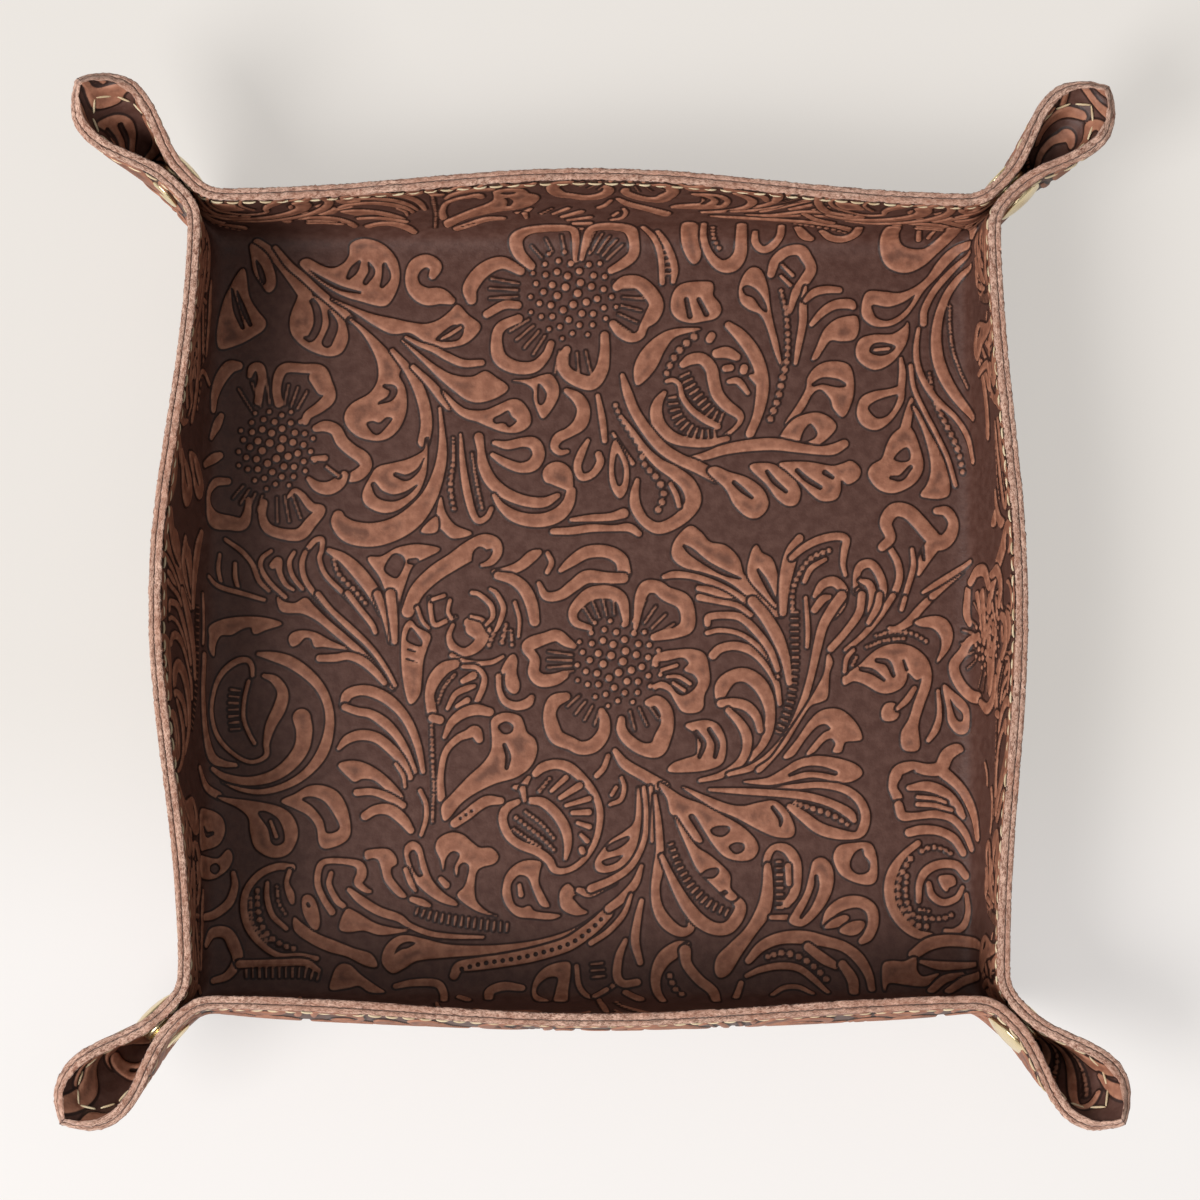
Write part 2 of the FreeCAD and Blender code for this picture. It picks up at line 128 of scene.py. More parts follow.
def folded_side(across, out, bow, belly):
    """Inner face of the sheet's north quarter before its folds are rounded: base, wall and two ear halves."""
    height = np.maximum(out - INNER_HALF, 0)
    share = height / WALL_WIDTH
    inside = np.clip(across / INNER_HALF, -1, 1)
    swell = bow * (0.5 + 0.5 * np.cos(np.pi * inside)) ** BOW_SHAPE * share
    swell += belly * np.sin(np.pi * np.clip(share, 0, 1)) * (1 - inside**BELLY_FADE)
    along = np.abs(across) - INNER_HALF
    gap = ear_gap(along, height)
    reach = along * EAR_STRETCH
    ear = (along > 0) & (height > 0)
    x = np.where(ear, np.sign(across) * (INNER_HALF + (reach - gap) / math.sqrt(2)), across)
    y = np.where(ear, INNER_HALF + (reach + gap) / math.sqrt(2), np.minimum(out, INNER_HALF) + swell)
    return x, y, LEATHER + height


def softened(field, softness):
    """A field on the grid, smoothed by a bell curve of that width."""
    reach = int(round(3 * softness / GRID_STEP))
    taps = np.arange(-reach, reach + 1) * GRID_STEP
    weights = np.exp(-(taps**2) / (2 * softness**2))
    weights /= weights.sum()
    for axis in (0, 1):
        moved = np.moveaxis(field, axis, 0)
        padded = np.concatenate([np.repeat(moved[:1], reach, 0), moved, np.repeat(moved[-1:], reach, 0)])
        total = sum(weight * padded[k:k + grid_count] for k, weight in enumerate(weights))
        field = np.moveaxis(total, 0, axis)
    return field


def turned(turn, x, y):
    """Place of a point that is given with a side as the north side; a negative turn goes the other way."""
    return ((x, y), (y, -x), (-x, -y), (-y, x))[turn]


def from_side(values, turn):
    """A grid of values seen with that side, counted clockwise from north, as the north side."""
    i, j = np.meshgrid(np.arange(grid_count), np.arange(grid_count), indexing="ij")
    last = grid_count - 1
    rows, columns = ((i, j), (j, last - i), (last - i, last - j), (last - j, i))[turn]
    return values[rows, columns]


def folded_sheet():
    """Places of the inner face and directions from it to the outer face, over the whole grid."""
    place = np.zeros(grid_u.shape + (3,))
    for turn, (_, _, _, bow, belly) in enumerate(SIDES):
        across, out = turned(-turn, grid_u, grid_v)
        x, y, z = folded_side(across, out, bow, belly)
        x, y = turned(turn, x, y)
        here = (out >= np.abs(across) - TINY) & (out >= 0)
        place[here] = np.stack([x, y, z], -1)[here]
    place = softened(place, FOLD_SOFTNESS)
    along_u = np.gradient(place, axis=0)
    along_v = np.gradient(place, axis=1)
    outward = -np.cross(along_u, along_v)
    outward /= np.linalg.norm(outward, axis=-1, keepdims=True)
    return place, outward


inner_face, outward = folded_sheet()
turned_sheet = [(from_side(inner_face, turn), from_side(outward, turn)) for turn in range(len(SIDES))]


# Tooling on the sheet, one mark to a line. A leaf, join or cut is a stroke through points u, v with a half
# width at each point; beads, holes and bars follow such a stroke. A shape or hollow is a closed outline
# through points u, v. Ribs run out from a flower's middle: u, v, two radii, two angles and their count.
# Seeds: u, v, radius. A line that starts with + goes on with the mark above it.
TOOLING = """
# Leaves in the north-west corner
shape -76.5 84.8 -77.8 82.5 -79.4 78 -79.2 74.2 -77.2 71.4 -73.9 69.2 -69.4 67.8 -66.1 68.7 -64.4 72 -64.7
+ 75.3 -66.1 78.7 -68.9 80.9 -72.2 83.1
cut -75.3 84.2 .5 -72.8 80.9 1.2 -72.2 76.4 1.3 -73.9 72.6 1.2 -75.6 72.6 .6
cut -69.4 79.8 .5 -68.1 75.9 1.4 -69.7 71.4 1.6
join -88.3 98.7 1 -82.8 93.7 1.4 -78.3 88.1 1.6 -75.5 84 1.6
shape -77 92.3 -75.2 93.8 -71.7 92.1 -68.6 91.2 -65.6 92.5 -64 94.8 -63.6 98.1 -60.6 99.8 -56.7 98.9 -53.3
+ 96.2 -51.2 92.5 -51 87.5 -53.1 82.6 -55.6 81.3 -61 82.6 -65 83.8 -68.6 85.6 -73 88.6
cut -61.4 93.1 .6 -62.8 90.9 1.3 -64.2 88.9 .8
cut -58.9 92.8 .5 -58.1 90.3 1.1 -59.7 87.6 .9
cut -54.7 92.3 .8 -54.2 89.2 1.4 -55.3 86.7 .8
cut -74.7 90.9 .3 -70.6 88.1 .7 -66.1 85.9 .8 -61.1 84.8 .5
shape -90 98 -86 94.8 -83.9 90.3 -83.6 86.5 -85.3 84.8 -87 86.8 -89 90 -89.8 94
hollow -89 93.8 -87 91.8 -85.8 88 -86.6 86.6 -88 89
shape -92 91 -90.5 83.7 -88.3 79.8 -86.1 77 -86.5 74.9 -89 73 -93 70.8 -97.8 69.4 -99.2 71 -99.2 74.8 -98 80
+ -96 85
cut -95 85.5 .5 -93.8 80 1 -92 75.2 .7
cut -93.6 85 .4 -91.8 80 .9 -90 76 .7
leaf -83.6 97 .5 -80 92.3 .8 -76.1 88.9 .8 -71.7 84.8 .8 -66.7 80.6 .8 -63.5 77.6 .9
# Long scroll leaves below that corner
shape -64 77.8 -60.6 74.2 -58.1 70.3 -56.3 65.9 -56.2 61.4 -58.3 57.8 -62.8 55.1 -64.7 52.5 -64.7 50 -63.2
+ 47.8 -60.4 46 -56.1 45.3 -52.8 46.4 -50.3 49.2 -48.9 53.1 -48.8 57 -49.4 59.8 -50.8 62.6 -50.4 64.8 -52.8
+ 68.1 -56.1 71.6 -60.6 75.6
cut -54.5 59.8 .7 -52.2 58.9 1.2 -53 56.6 1 -56 55.2 .5
hollow -59.4 49.8 -57.8 47.2 -56.2 46.6 -54.6 47.8 -52.2 51 -54 51.6 -55.8 50.2 -57.6 50.6
leaf -42 89.5 .9 -41.2 92 1.5 -43.7 93.5 1.6 -46.4 92.2 1.7 -47.6 89.2 1.5 -46.7 85.9 1.8 -43.7 83.9 2.2
+ -40.1 84 2 -37 82.8 .9
shape -68.5 83 -64 81.2 -58 79 -52 77.7 -47.8 76.8 -43.7 76.4 -40.1 77.6 -37.3 79.8 -35.3 81.6 -32.6 78.9
+ -29.5 76.4 -30.1 74.2 -32.8 71.7 -35.9 70.6 -40.9 70.3 -44.5 72.2 -48 74.2 -52.6 73.9 -57.2 76.1 -63 79.9
hollow -41.3 72.2 -38.5 75.2 -36 76.5 -33.6 75.2 -34.4 72.6 -37 71.6
leaf -34.5 75.6 .3 -37.5 73.6 .35 -39.5 72.6 .2
cut -52 73.4 .5 -49.5 73.2 .6 -46.8 72.6 .3
leaf -49 72.9 .3 -45.4 71 .5 -41.5 69.6 .7 -38.1 67.8 .9 -33.7 66 .9 -28.9 66.2 .7
shape -50 72 -45.5 68.6 -41 65.2 -36.5 62.8 -31.5 62.3 -28 63.8 -25.2 62.2 -22 59.6 -24.5 57.2 -29 55.7
+ -32.5 56.2 -36 58.6 -40 62 -45 67
leaf -52.5 69.3 .5 -48.6 64.6 1 -45.8 59.8 1.3 -44 54.5 1.4 -43.4 49.5 1.4 -44.1 45 1.4
shape -43.2 45.5 -44 42.6 -48 40.3 -52 39.2 -56.1 38.1 -58 35.5 -60 31 -58.9 28 -55 26.2 -51.6 26.6 -48.5
+ 28.5 -45.5 31.5 -44 35 -43.4 38
cut -51.4 36.2 .8 -48.5 35.4 1 -45.5 37.5 .6 -44 40.5 .3
cut -57.2 33.5 .9 -55.5 31 1.3 -52 30 1.1 -48.5 31.2 .8 -45.8 33.4 .4
leaf -39.9 54 .3 -39.3 48 .6 -39.2 42 1.1 -40.2 36.5 1.4 -42.5 30.5 1.9 -46.5 25.2 2.6 -51.5 21.8 2.8 -57.5
+ 20.2 3 -63 20.9 2.9 -66 23.3 2.1 -66.4 25.2 1.3
leaf -47 65 .5 -42.5 60.6 .9 -39.5 57 1.1 -37.4 54.5 1
shape -39.2 58.6 -35.5 55.2 -32.5 53.5 -28 53.4 -24.5 54.8 -21 56.3 -18.5 55.8 -16.3 52.8 -16.2 49.8 -19
+ 47.8 -23 47.8 -27 49.2 -30 50.5 -33 51.4 -36 53.6
hollow -26 51.3 -24 52.5 -21.8 53.6 -20.8 52 -19.4 50.6 -21.6 48.8 -23 49.9 -25.4 49.8
# Feather and the curls beside it
leaf -34.4 47 .25 -33.8 39 .7 -32.7 32 .9 -31.2 26.3 .8 -29.6 24 .7 -27.4 25 .6 -26.2 27.3 .5
beads -36.4 46 .35 -36.3 40 .5 -37 33 .6 -35.8 26 .5
beads -31.4 42 .25 -30.3 35 .4 -28.6 27 .45
shape -39.6 30.2 -38.4 26.2 -35.8 22.8 -31.4 20.7 -36 19.4 -38.6 21.2 -40.6 23.9
shape -40.8 25 -40.6 21.2 -44.6 21.2
leaf -29.6 46.3 1.1 -29 42.5 .9 -28.4 38.8 1.3 -26.3 34.6 1.5 -22.5 31.4 1.4 -17.5 29.4 1.3 -12.5 29 1.2
+ -8.8 30.8 .6
leaf -25.6 30.8 .4 -23.6 27.9 .9 -20.5 25.5 1.4 -16.5 24.3 1.6 -12 24.4 1.7 -8.3 26 1.7 -6 28.8 1.4 -5.2 32
+ 1.1
join -6 33.5 1.2 -8.2 36.3 3 -10 36.6 2.6 -11 35.6 1.4
leaf -25.5 44.8 .5 -22 44.2 1 -18 45 1.1 -15 44.6 1.5 -13.8 41.8 1.5 -15.3 39 1.5 -18.6 38.2 1.2 -22.5 39.5
+ 1 -26 41.6 .5
shape -20.6 61.4 -16.4 61.7 -13 62.8 -10.6 63 -8.8 60.4 -8.7 57.5 -10.3 54.2 -12.6 51.5 -13.9 53.2 -15 56.4
+ -15.2 59.2 -17.6 60.9
hollow -13.9 61 -11.6 58.2 -12.4 55.2 -14 55.1 -14.4 58
leaf -6.5 58.8 .6 -3.5 56.8 1.4 -2 53.8 1.6 -2.8 50.2 1.7 -5.6 47.8 1.2 -8.6 46.2 1.2 -9.7 43.8 .9 -8.2 42.3
+ .7 -6.2 42.6 .4
leaf -.8 45.6 .4 -2.6 42 .9 -3.6 38.5 .9 -2.4 35.8 .9 .4 36.6 .8 2.4 39.6 .9 2 41.8 .8
# Scroll and fan on the west side of the base
leaf -48 0 1.5 -45.5 5.5 1.8 -41 10 2 -36 13.3 2.1 -31.5 16.3 2.4 -28 18.4 2 -25.2 18 1.4 -24.6 15.6 1.1
+ -26.2 13.2 .8 -28.6 12.3 .4
hollow -31.2 12.4 -31.2 15.6 -29.6 17.3 -27.6 16.7 -26.3 14.6 -28.2 12.8
shape -58.5 13.9 -55 14.4 -51.5 16.4 -49 17.2 -45 17.6 -39.8 16.5 -43.5 14.2 -46 13 -47.5 11 -48.6 8 -50 3.5
+ -50.6 0 -53 0 -53.5 4 -55.3 9
hollow -54.5 11.4 -52.2 15.2 -49.6 15 -48.6 12.8 -50.6 8.8 -53 9.3
cut -47.6 13.2 .9 -46 13.2 1.1
leaf -68.8 16 .6 -65 14 1.2 -61.5 10.8 1.6 -58 6.5 1.6 -55.6 2.5 1.5 -54.5 0 1.3
beads -67.5 13.5 .4 -66 9.5 .6 -62 5.5 .6 -59 2 .5
leaf -75 15.5 .5 -72.5 18.6 .6 -70.6 18.8 .6 -70.7 16 .5 -71.2 13.6 .5 -69.5 9.4 .5 -65 4.8 .5 -60.5 .3 .5
leaf -75 15.5 .5 -75.8 12.5 .6 -75 8.4 .6 -72 4 .6 -69 .7 .6
leaf -77.9 15.5 .4 -79.1 12.8 .5 -78.2 9.2 .5 -75.6 5.8 .4
leaf -83.9 15.8 .4 -86.3 13.8 .5 -86.4 11 .5 -84 7.3 .5 -80 3.6 .4
leaf -83.4 12 .8 -82 13.2 .9 -81.6 10 .6 -80 7 .5 -78 5.6 .3
leaf -96 18.8 .4 -91.7 15.8 .5 -88.8 12.4 .5 -87 8 .5 -84.4 5.3 .4
leaf -97.5 14.7 .4 -97.9 11 .5 -97 7 .4
leaf -93.3 12.5 .4 -93.2 9 .5 -92.5 6.3 .4
leaf -101 8.8 .4 -97.8 6.4 .5 -91 4.5 .5 -85.6 2.9 .4
# Flower in the fold of the north wall
leaf -15.9 92.3 1 -19.2 95.9 1.5 -19.8 100.3 1.7 -16.4 103.7 1.6 -9.8 104.8 1.6 -4.8 103.7 1 -3.9 94.2 .8
leaf -18.7 90.9 1 -23.7 93.1 1.5 -28.7 90.9 1.8 -32 86.4 1.8 -31.7 83.1 1.2
leaf -27.6 79.2 .9 -23.1 81.7 1 -19.4 81.7 .9
leaf -19.2 78.1 1 -23.7 75.9 1.2 -25 72.6 1.3 -24.2 67.6 1.7 -20.3 65.1 1.6 -15.3 65.1 1.4 -12 68.1 1 -10.6
+ 71.4 .8
leaf -6.4 69.8 .9 -7.8 67 1.3 -5.9 63.1 1.6 -.3 60.9 1.8 2.7 64.2 1.6 3.6 69.2 1.2 3.6 73.7 1
ribs -5 85 12.5 17 100 145 4
ribs -5 85 14.5 22 170 184 3
ribs -5 85 13.5 19.5 212 238 4
ribs -5 85 16 22 258 283 4
seeds -5 85 12.5
# Flower in the fold of the west wall
leaf -82.3 55 1 -82.9 58.5 1 -82.3 62.5 1.2 -80.5 64.5 1.2 -76 64.4 1.1 -71.5 63.9 1.3 -69.8 60.5 1.4 -69
+ 56.8 1.5 -71.3 54.2 1.3 -74.5 52 1 -75.3 50.2 .8
join -72.5 62 1.8 -70.8 59 1.6
leaf -87.7 55.5 .9 -87.2 59 .9 -86.7 62 1 -87.5 64.6 1.1 -89.3 64.4 .9 -90 62.3 .5
leaf -93 65 1 -95.5 64.5 1.6 -98.3 61 1.6 -100 57 1.3 -100.4 53 .8
leaf -72.5 48.4 .8 -70 49 1.3 -67.3 48 1.4 -65.6 45 1.5 -63 42.6 1.5 -60 40.5 1.6 -59.3 38.2 1.4 -61.5 36
+ 1.4 -64.5 35.2 1
leaf -74.3 35 .5 -72 33 1.2 -69 32.5 1.6 -66.3 34 1.5 -65 36 1
leaf -73.2 40.4 .5 -70 40.5 .7
leaf -69.6 38.2 .3 -66.4 35.8 .3
leaf -86 28.5 .9 -86.3 25 .9 -84.8 21.8 1.2 -80.8 20.3 1.3 -76.4 20.3 1.5 -73.5 23.5 1.4 -71 26.7 1.1 -73.5
+ 27.6 1 -76.2 30.8 .7 -78 31.8 .5 -79.5 30.2 .3
leaf -95.5 34.2 .8 -99 33.8 1 -101.5 31 .8 -101.6 27.5 .9 -99.5 24 2 -95 23.2 1.8 -91.5 23 1.5 -90.2 26 .9
+ -90 29.5 .5
leaf -101 45.5 .6 -99 49 1.2 -97.6 51.5 .7
leaf -104 38 .8 -100 40 1.2 -97.8 41 .8
ribs -83 43 12 17.5 62 88 4
ribs -83 43 12 19 98 122 3
ribs -83 43 13 17.5 230 255 4
ribs -83 43 13 20 272 290 3
seeds -83 43 11
# East half of the flower in the fold of the north wall
leaf -2.5 94.3 .5 -1.6 98.5 .8 -.5 103.5 1 2 105.6 1.6 6 105.8 1.8 9.8 104.4 1.8 11.2 100.5 1.3 11.3 96 1.3
+ 9 93.4 1.2 5.3 91.2 .8
leaf 6.8 86.8 1 9 88.2 1.4 12.5 88 1.6 15.5 85.5 1.8 17.3 82.2 1.8 16.2 79 1.8 14.2 76.6 1 13 73.9 1 10.5
+ 73.1 1.1 7.8 74.5 1.2 5.8 76.8 .9
ribs -5 85 13.5 19 -34 6 5
ribs -5 85 13 19 45 72 5
# Cup, thin pair and pod beside that flower
leaf 13.6 105.5 .6 17 100 .7 18.5 95 .7 18.9 88 .6
leaf 17.5 103.5 .5 20.5 97.5 .8 22.2 92 .8 21.8 88.3 .5
bars 19.6 98 .4 20.3 94 .5 20.4 90 .4
shape 21.4 80.5 21.5 84 23 86.8 25.8 88 31.5 88.2 32.4 86.8 32.3 84.6 34 82.4 34.4 80.4 33 78.6 30 77.8 26.5
+ 77.3 23.2 78.2
cut 25.3 83.5 .8 26.2 79 .9
cut 28.6 83.5 .8 30.6 79.6 .9
shape 29 75.6 22 75.4 17.5 73.4 13.5 69.5 11.5 65 12 60.6 14.5 62 17.3 65.5 19.6 70.2 22.5 73.6
beads 27.3 73.5 .9 24 70.5 .9 21.5 67 .8 20 63.5 .7
leaf 31.4 72.8 .9 32 73.8 .9
leaf 33.3 69 1.1 36 69.3 1.4 38.5 68.2 1
leaf 35.6 65 .8 37 65.2 .8
leaf 40.4 64.4 .9 40.6 65.2 .9
leaf 36.5 61.5 .5 39 61.6 .8 41.5 58.5 .5
leaf 36.5 76.6 .9 39.5 74 1.5 42.5 70.2 1.7 44.6 65.8 1.6 45.4 61 1.6 45 56.5 1.4 43.9 52 1.1 42 47.5 1
join 42.3 63 .4 44.5 62 1.4
leaf 24.3 66 .8 26.5 67.4 1.3 29.5 67.5 1.4 31.8 65 1.5 32.5 61.5 1.5 33.5 58 1.5 36 55 1.4 39 52.8 1.1 39.5
+ 51.2 .6 38.3 49.3 .4 35.5 46.9 .4
leaf 20 61.5 .4 21.8 61.8 .5 23.4 60.5 .5 24.2 57.3 .6 26.5 54 .7 30 51.3 .8 33.5 49.5 .7
leaf 19.4 58.4 .5 17.8 56 1.1 17.2 53 1.5 18.2 49.5 1.6 21.5 46.5 1.4 26 45.2 1.1 31 45 .9 36 46.2 .6
bars 24.5 64 1.2 26.5 60 1.3 29 56.5 1.3 32 53 1.3 35 51.6 1
bars 21.4 58 .9 22.4 53 1.2 25 49.3 1.4 29 47.4 1.2 33 47.6 1
# Acanthus fans on the east side
leaf 47.8 90.5 .9 49 94 1.2 52 96.8 1.3 55.5 97.2 1.5 57.3 95 1.4 58.5 92 1.3 56.8 88.8 1.3 54.4 85.6 1 52.8
+ 80.5 .5
leaf 50.8 93 .3 53.6 90.2 .4
leaf 50.4 90 .3 53 87.5 .4
shape 39.8 83 39.4 86.4 40.6 90 42.8 92.2 45.2 91.3 46.8 87 47.4 82 48.2 77.5 49.6 71.5 50.4 66 48.9 69 46.8
+ 76 45 79.6 42 81
hollow 40 86.8 41.8 87.6 44.5 86 46.6 82.5 46.8 80 45 81 43 83.8 40.8 84.8
beads 50.5 86 .5 51.8 80 .6 52.2 74 .65 52 68 .7 50.6 62 .8 49.5 57 .8 47.2 51 .8
leaf 57 87 .3 56.3 82 .9 56.2 77.5 .9 55 71 .7 54.2 66.5 .4
leaf 57 83.5 .5 59.3 85.6 .9 62.5 86.4 .9 66 86.3 .7
leaf 58.5 77 .5 61.5 80.3 .9 64.8 82.3 1.1 68.6 82.6 1.2 69.6 81.9 .8
shape 58.6 67.6 60 71 62 75.5 65 78.2 68.5 79.2 70.6 79 71 76 69.8 73.2 66.5 72.6 63.5 72.8 61.5 70.3 60 68
shape 51.5 50.5 54.5 55 57 59.5 57.5 62.5 59.5 65.3 62.5 66.8 66.5 66.8 68.8 65.3 69.6 61 69 56.5 66.8 52.3
+ 64.3 54.5 63.5 57 61 59.6 58.6 58.5 56.3 54.5 53 50.5
cut 59 60.8 .7 61.5 61.8 1.1 65 61.3 1.3 67 60.8 .8
shape 50.2 47 53 50.8 56 52.5 59.8 53.2 63 52 64.8 49.8 63.5 47.5 60.5 45 57.5 43.6 53 44 50 44.6
hollow 55.2 45 55.8 48 57.6 50.4 58.8 50 60 48 59.4 46.4 57 45.2
leaf 24 40.3 .4 30 41.5 .9 35 43.2 1.2 41 44.3 1.4 48 44.8 1.5 54 44 1.2 60 43.2 1 64 43.5 1.3 67 45 1
leaf 8.3 63 .5 9.6 58.5 1.1 11.5 53.5 1.2 15 48 1.3 19 43.5 1.4 23.5 40.6 1.4 28.5 38.4 1.5 33 36 1.5
shape 31 37.4 35.5 33 37.8 28.7 41 25.6 43.8 25.2 46 27 46.7 29.5 45 33 41 35.8 36.5 37.2 33 38.6
cut 37.8 34.5 .8 40 32.5 .9 42.5 30.5 .6
shape 42 38.8 46.5 34 49 30.5 51.8 28.5 54.3 29 55.2 32 53.8 35 51 37.8 47 39.6
cut 46.5 37.5 .7 48.5 34.8 .9 51.5 32.2 .7
shape 50 39.7 57 40 63.5 39 66.5 39.6 68.8 40.3 71 38.4 70.7 36 68 34.3 66 35.6 65.8 32.5 64.5 30.2 61 29.8
+ 58.4 31.5 55.5 34.5 52 37.7
cut 54.5 37.8 .8 57 35.5 .9 60.5 33.3 .8
cut 61.8 37.3 .9 63.8 36 .7
# Feather between the pod and the middle flower
leaf 8 52 .3 11 48 .5 14.5 43 .8 18 39.5 1.2 22 37 1.6 25.5 34 1.9 27 30 2 25.3 26.5 1.7 21.5 23.5 1.5 17.5
+ 22.3 1.4 14 24.3 1.2 11.8 28 1.3 11.5 31.5 1 12.2 35 .5
leaf 21 34 .5 22.5 31 .6 23.2 28.2 .5
beads 6.5 55 .6 8 51.5 .6 10.3 48 .7 13 43.8 .8 14 39.5 .7 17.8 35 .9 19.2 31 .8 17.6 27 .8
leaf 1.8 57.5 .5 3 51 .8 3.6 45.5 .6
leaf 5.8 47.5 .3 8.5 43 .5 11 39.5 .5
shape 6.2 45.5 5 40.5 5.2 34 7.5 30.3 9.5 33 9.8 38.5 8 43
hollow 6.5 42 5.9 37.5 6.9 33.5 8.4 34 8.8 38 7.6 41.6
leaf -5.2 24.4 .4 0 24.9 .8 5 25.2 .9 8.6 26.2 1.2
leaf -10 21.3 .7 -5 21.5 .9 0 22.2 .9 6 22.2 .7 10 22.4 1 12.6 20.8 .7
leaf -8 11 .5 -5 13.4 1.2 -1 15.8 1.5 4 16 1.5 7.8 14 1.6 8.8 10.5 1.6
leaf -13.7 7.5 .5 -11.8 4.2 1 -8 4.5 1.2 -4.5 7 1.4 -1 9.3 1.6 4 9 1.4 8.5 9 1.2
# Leaves east of the middle flower
shape 21.3 16 22.5 19.5 26 22.8 28.8 21.3 31.3 18.6 35.5 17.6 38.8 14.3 40.2 10 42.5 9 43 7 46 3 50.5 -1 46
+ 0 41 4.6 36 8.3 30 10.6 25 11.8 22.2 13.6
cut 24.5 17.6 .6 26.5 16 1.1 30.5 13 .9 35 10.5 .9 39.3 9 .5
shape 41.5 9.5 42 15 43.5 17.8 45 15.8 47.5 14.3 48.8 11 49.3 7.6 50 3 49 1.2 46 4
cut 44 11.3 .6 45.7 8.5 .9 47.5 5 .8 48.8 2.4 .4
leaf 19.2 9.4 .5 22 10 .8 26.5 9.6 .7 31.5 8 .8 36.5 5.5 .9 41 2.5 .9 44 0 .8
leaf 28.3 6.4 .6 31.5 5.8 .8 35.5 4.2 .7 39 1.8 .6 41 0 .5
leaf 50.5 0 .8 50.8 6 1.2 51.6 11 1.6 53 16 1.6 55 19.8 .9
leaf 52.8 14.5 .6 56 17.2 .8 60 19.3 .9 64.5 20.3 .9 67.2 19.6 .9 66.8 16.5 .8 66.4 13 .6 67 10 .4
beads 53 1 .55 53.2 6 .55 55.2 11 .6 58.5 14.8 .6 64 17 .6
leaf 56.2 8.3 .5 58 11.8 .6 61.8 14.2 .4
leaf 59 4.5 .6 61 7.5 1 64 8.3 1.2 66.3 6 1.2 65.8 2.5 1.2 63.8 -.5 1
leaf 58.8 .8 .8 61 3.6 .9 62.8 4.2 .5
leaf 69.6 5.5 .5 70 10.2 .8 71.3 12.6 1 73.8 13 1 75.8 10.6 1 77 6.8 .9 76.3 2.5 .8 75.5 0 .7
leaf 71 8.6 .4 73.3 7.6 .9 74.2 4.5 .9 73.5 0 .8
leaf 70.5 6 .5 71.4 3 .6 71.2 0 .6
leaf 78.8 17.3 .7 80.8 13.5 .8 81.3 9.5 .8 80 5.5 .8 77.8 1.5 .7
leaf 76.8 17.5 1 79 20 1.2 77.8 24 1.5 80 27.3 1.7 83.5 27 1.8 86.5 24.3 1.8 89.3 21 1.8 92 18.6 1.8 94.8
+ 20.5 1.6 95.8 24 1.3 94 27 1.2 91.3 27.2 .8
join 91 19 1.8 88.5 15.5 1.6 86.3 10.5 .5
cut 82 20 .7 83 16.5 .9 84.4 12.5 .7
cut 84.8 22 .7 87 18.5 .9 87.8 14.2 .6
leaf 84.7 17 .4 85 12.5 .6 83.5 7 .6 81.7 1.5 .5
# Drops and long bands in the north-east corner
shape 70.5 53 71.5 57 74.5 58.8 79 59.6 82.6 60.3 82.8 57 81 53.5 78.5 50.5 75.3 48.8 72 50
hollow 73.2 54.5 75 56.5 79 58 81.5 58.2 80.6 55 78.4 52.3 75.5 51.8
join 82.2 59.5 .8 82.6 64 .8 82.2 68 .4
shape 73.4 36.5 74.3 39.2 77 41 78.3 44.5 79.8 47.3 82 49.2 83.6 50 85.2 48.5 86.6 45 87.8 40 87 36.6 84.4
+ 33.8 80 32 76 33
hollow 79.9 41 81.5 43.2 83.5 44.3 84.6 43 84.4 40.6 82 40
cut 79.4 36 .7 82 36 1 84.5 38.8 .8
join 83.2 49 1.2 84.2 53.5 .9 85 57 .4
shape 85.3 55 88 48.5 89.6 42.5 90 38 89 34.3 87.2 31.5 89 30.7 92.5 30.6 94.7 32 94.4 37 92.3 43 89.3 48.5
+ 86.8 53.5
shape 72 79.8 72.3 83.5 73.8 85.9 78 85.8 82 85.5 86 87 89.5 89.8 92 93.5 95 97 98.5 99.3 103 99.5 103 97.5
+ 99 96.6 95.5 93.8 92 90 88.5 86.4 86 82.5 83.5 79.3 80 77 76 76.6 73.5 77.7
hollow 74.6 82.5 79 82 83 83.3 86.2 85.3 84.8 82.2 82 79.4 79 78 76.4 78.4 75 79.8
shape 70.3 69.8 71.5 73 75 74.2 80 74.4 83.2 76.4 84.2 77.6 84 73.5 82.2 69.8 79 66.4 75 65 71.4 67
hollow 73.8 69.6 74.6 71.8 77.5 72.4 81 71.3 79.5 69.3 76.5 68.5
leaf 75.3 70.2 .3 79 70.6 .35
leaf 88.3 77.5 .8 88.6 81 .8 90.8 85.5 .7 94 89.5 .7 98.5 93.5 .6 104 96 .5
leaf 105 92 .6 99.5 90.3 .8 95.5 86.3 .9 93 81 1 91.8 75.5 1.2 91.8 70 1.4 93 65 1.5 95.5 60 1.4 99 55.5 1.2
+ 103.5 51.5 .9
leaf 87 76 .4 86.3 71 .6 86.7 66 .7 89 60.5 .7 92.5 56 .7 97 51.8 .6 101 46 .8 103 40 .8
leaf 84.8 66 .5 85.6 60 .5 88.5 53.5 .5 91.8 47 .5 94.5 41 .5 96.5 34 .5
beads 89.8 64 .4 91 57 .55 94 50.5 .7 97.3 43.5 .75 98.8 37 .7
beads 95.5 82 .4 95.5 76 .4 96.3 70 .4 98.5 64 .4 101.5 59 .4
shape 77 104 77 97.5 78.3 93.5 81 91.6 84.5 91.3 88.5 93.2 92 96.5 95.5 100.5 97.3 105 97.4 110 93.8 112
+ 93.5 107 92 101.5 89 98 85 97.8 82.3 99.5 81.3 104 81.2 110 78 110
leaf 86.5 107 .5 87 101 .6
leaf 90.5 107 .4 89.5 102 .5
shape 24 108 24 100 25.3 95.5 27.3 93.2 29 95 28.8 100 27.5 108
leaf 29.5 108 .7 29.8 101 .8 31.3 96 1 34.3 92.8 1.4 37.5 93 1.8 39.6 96 1.6 39.8 101 1.4 39.5 108 1.2
beads 32 106 .6 32.5 101 .6 34.5 96.5 .6
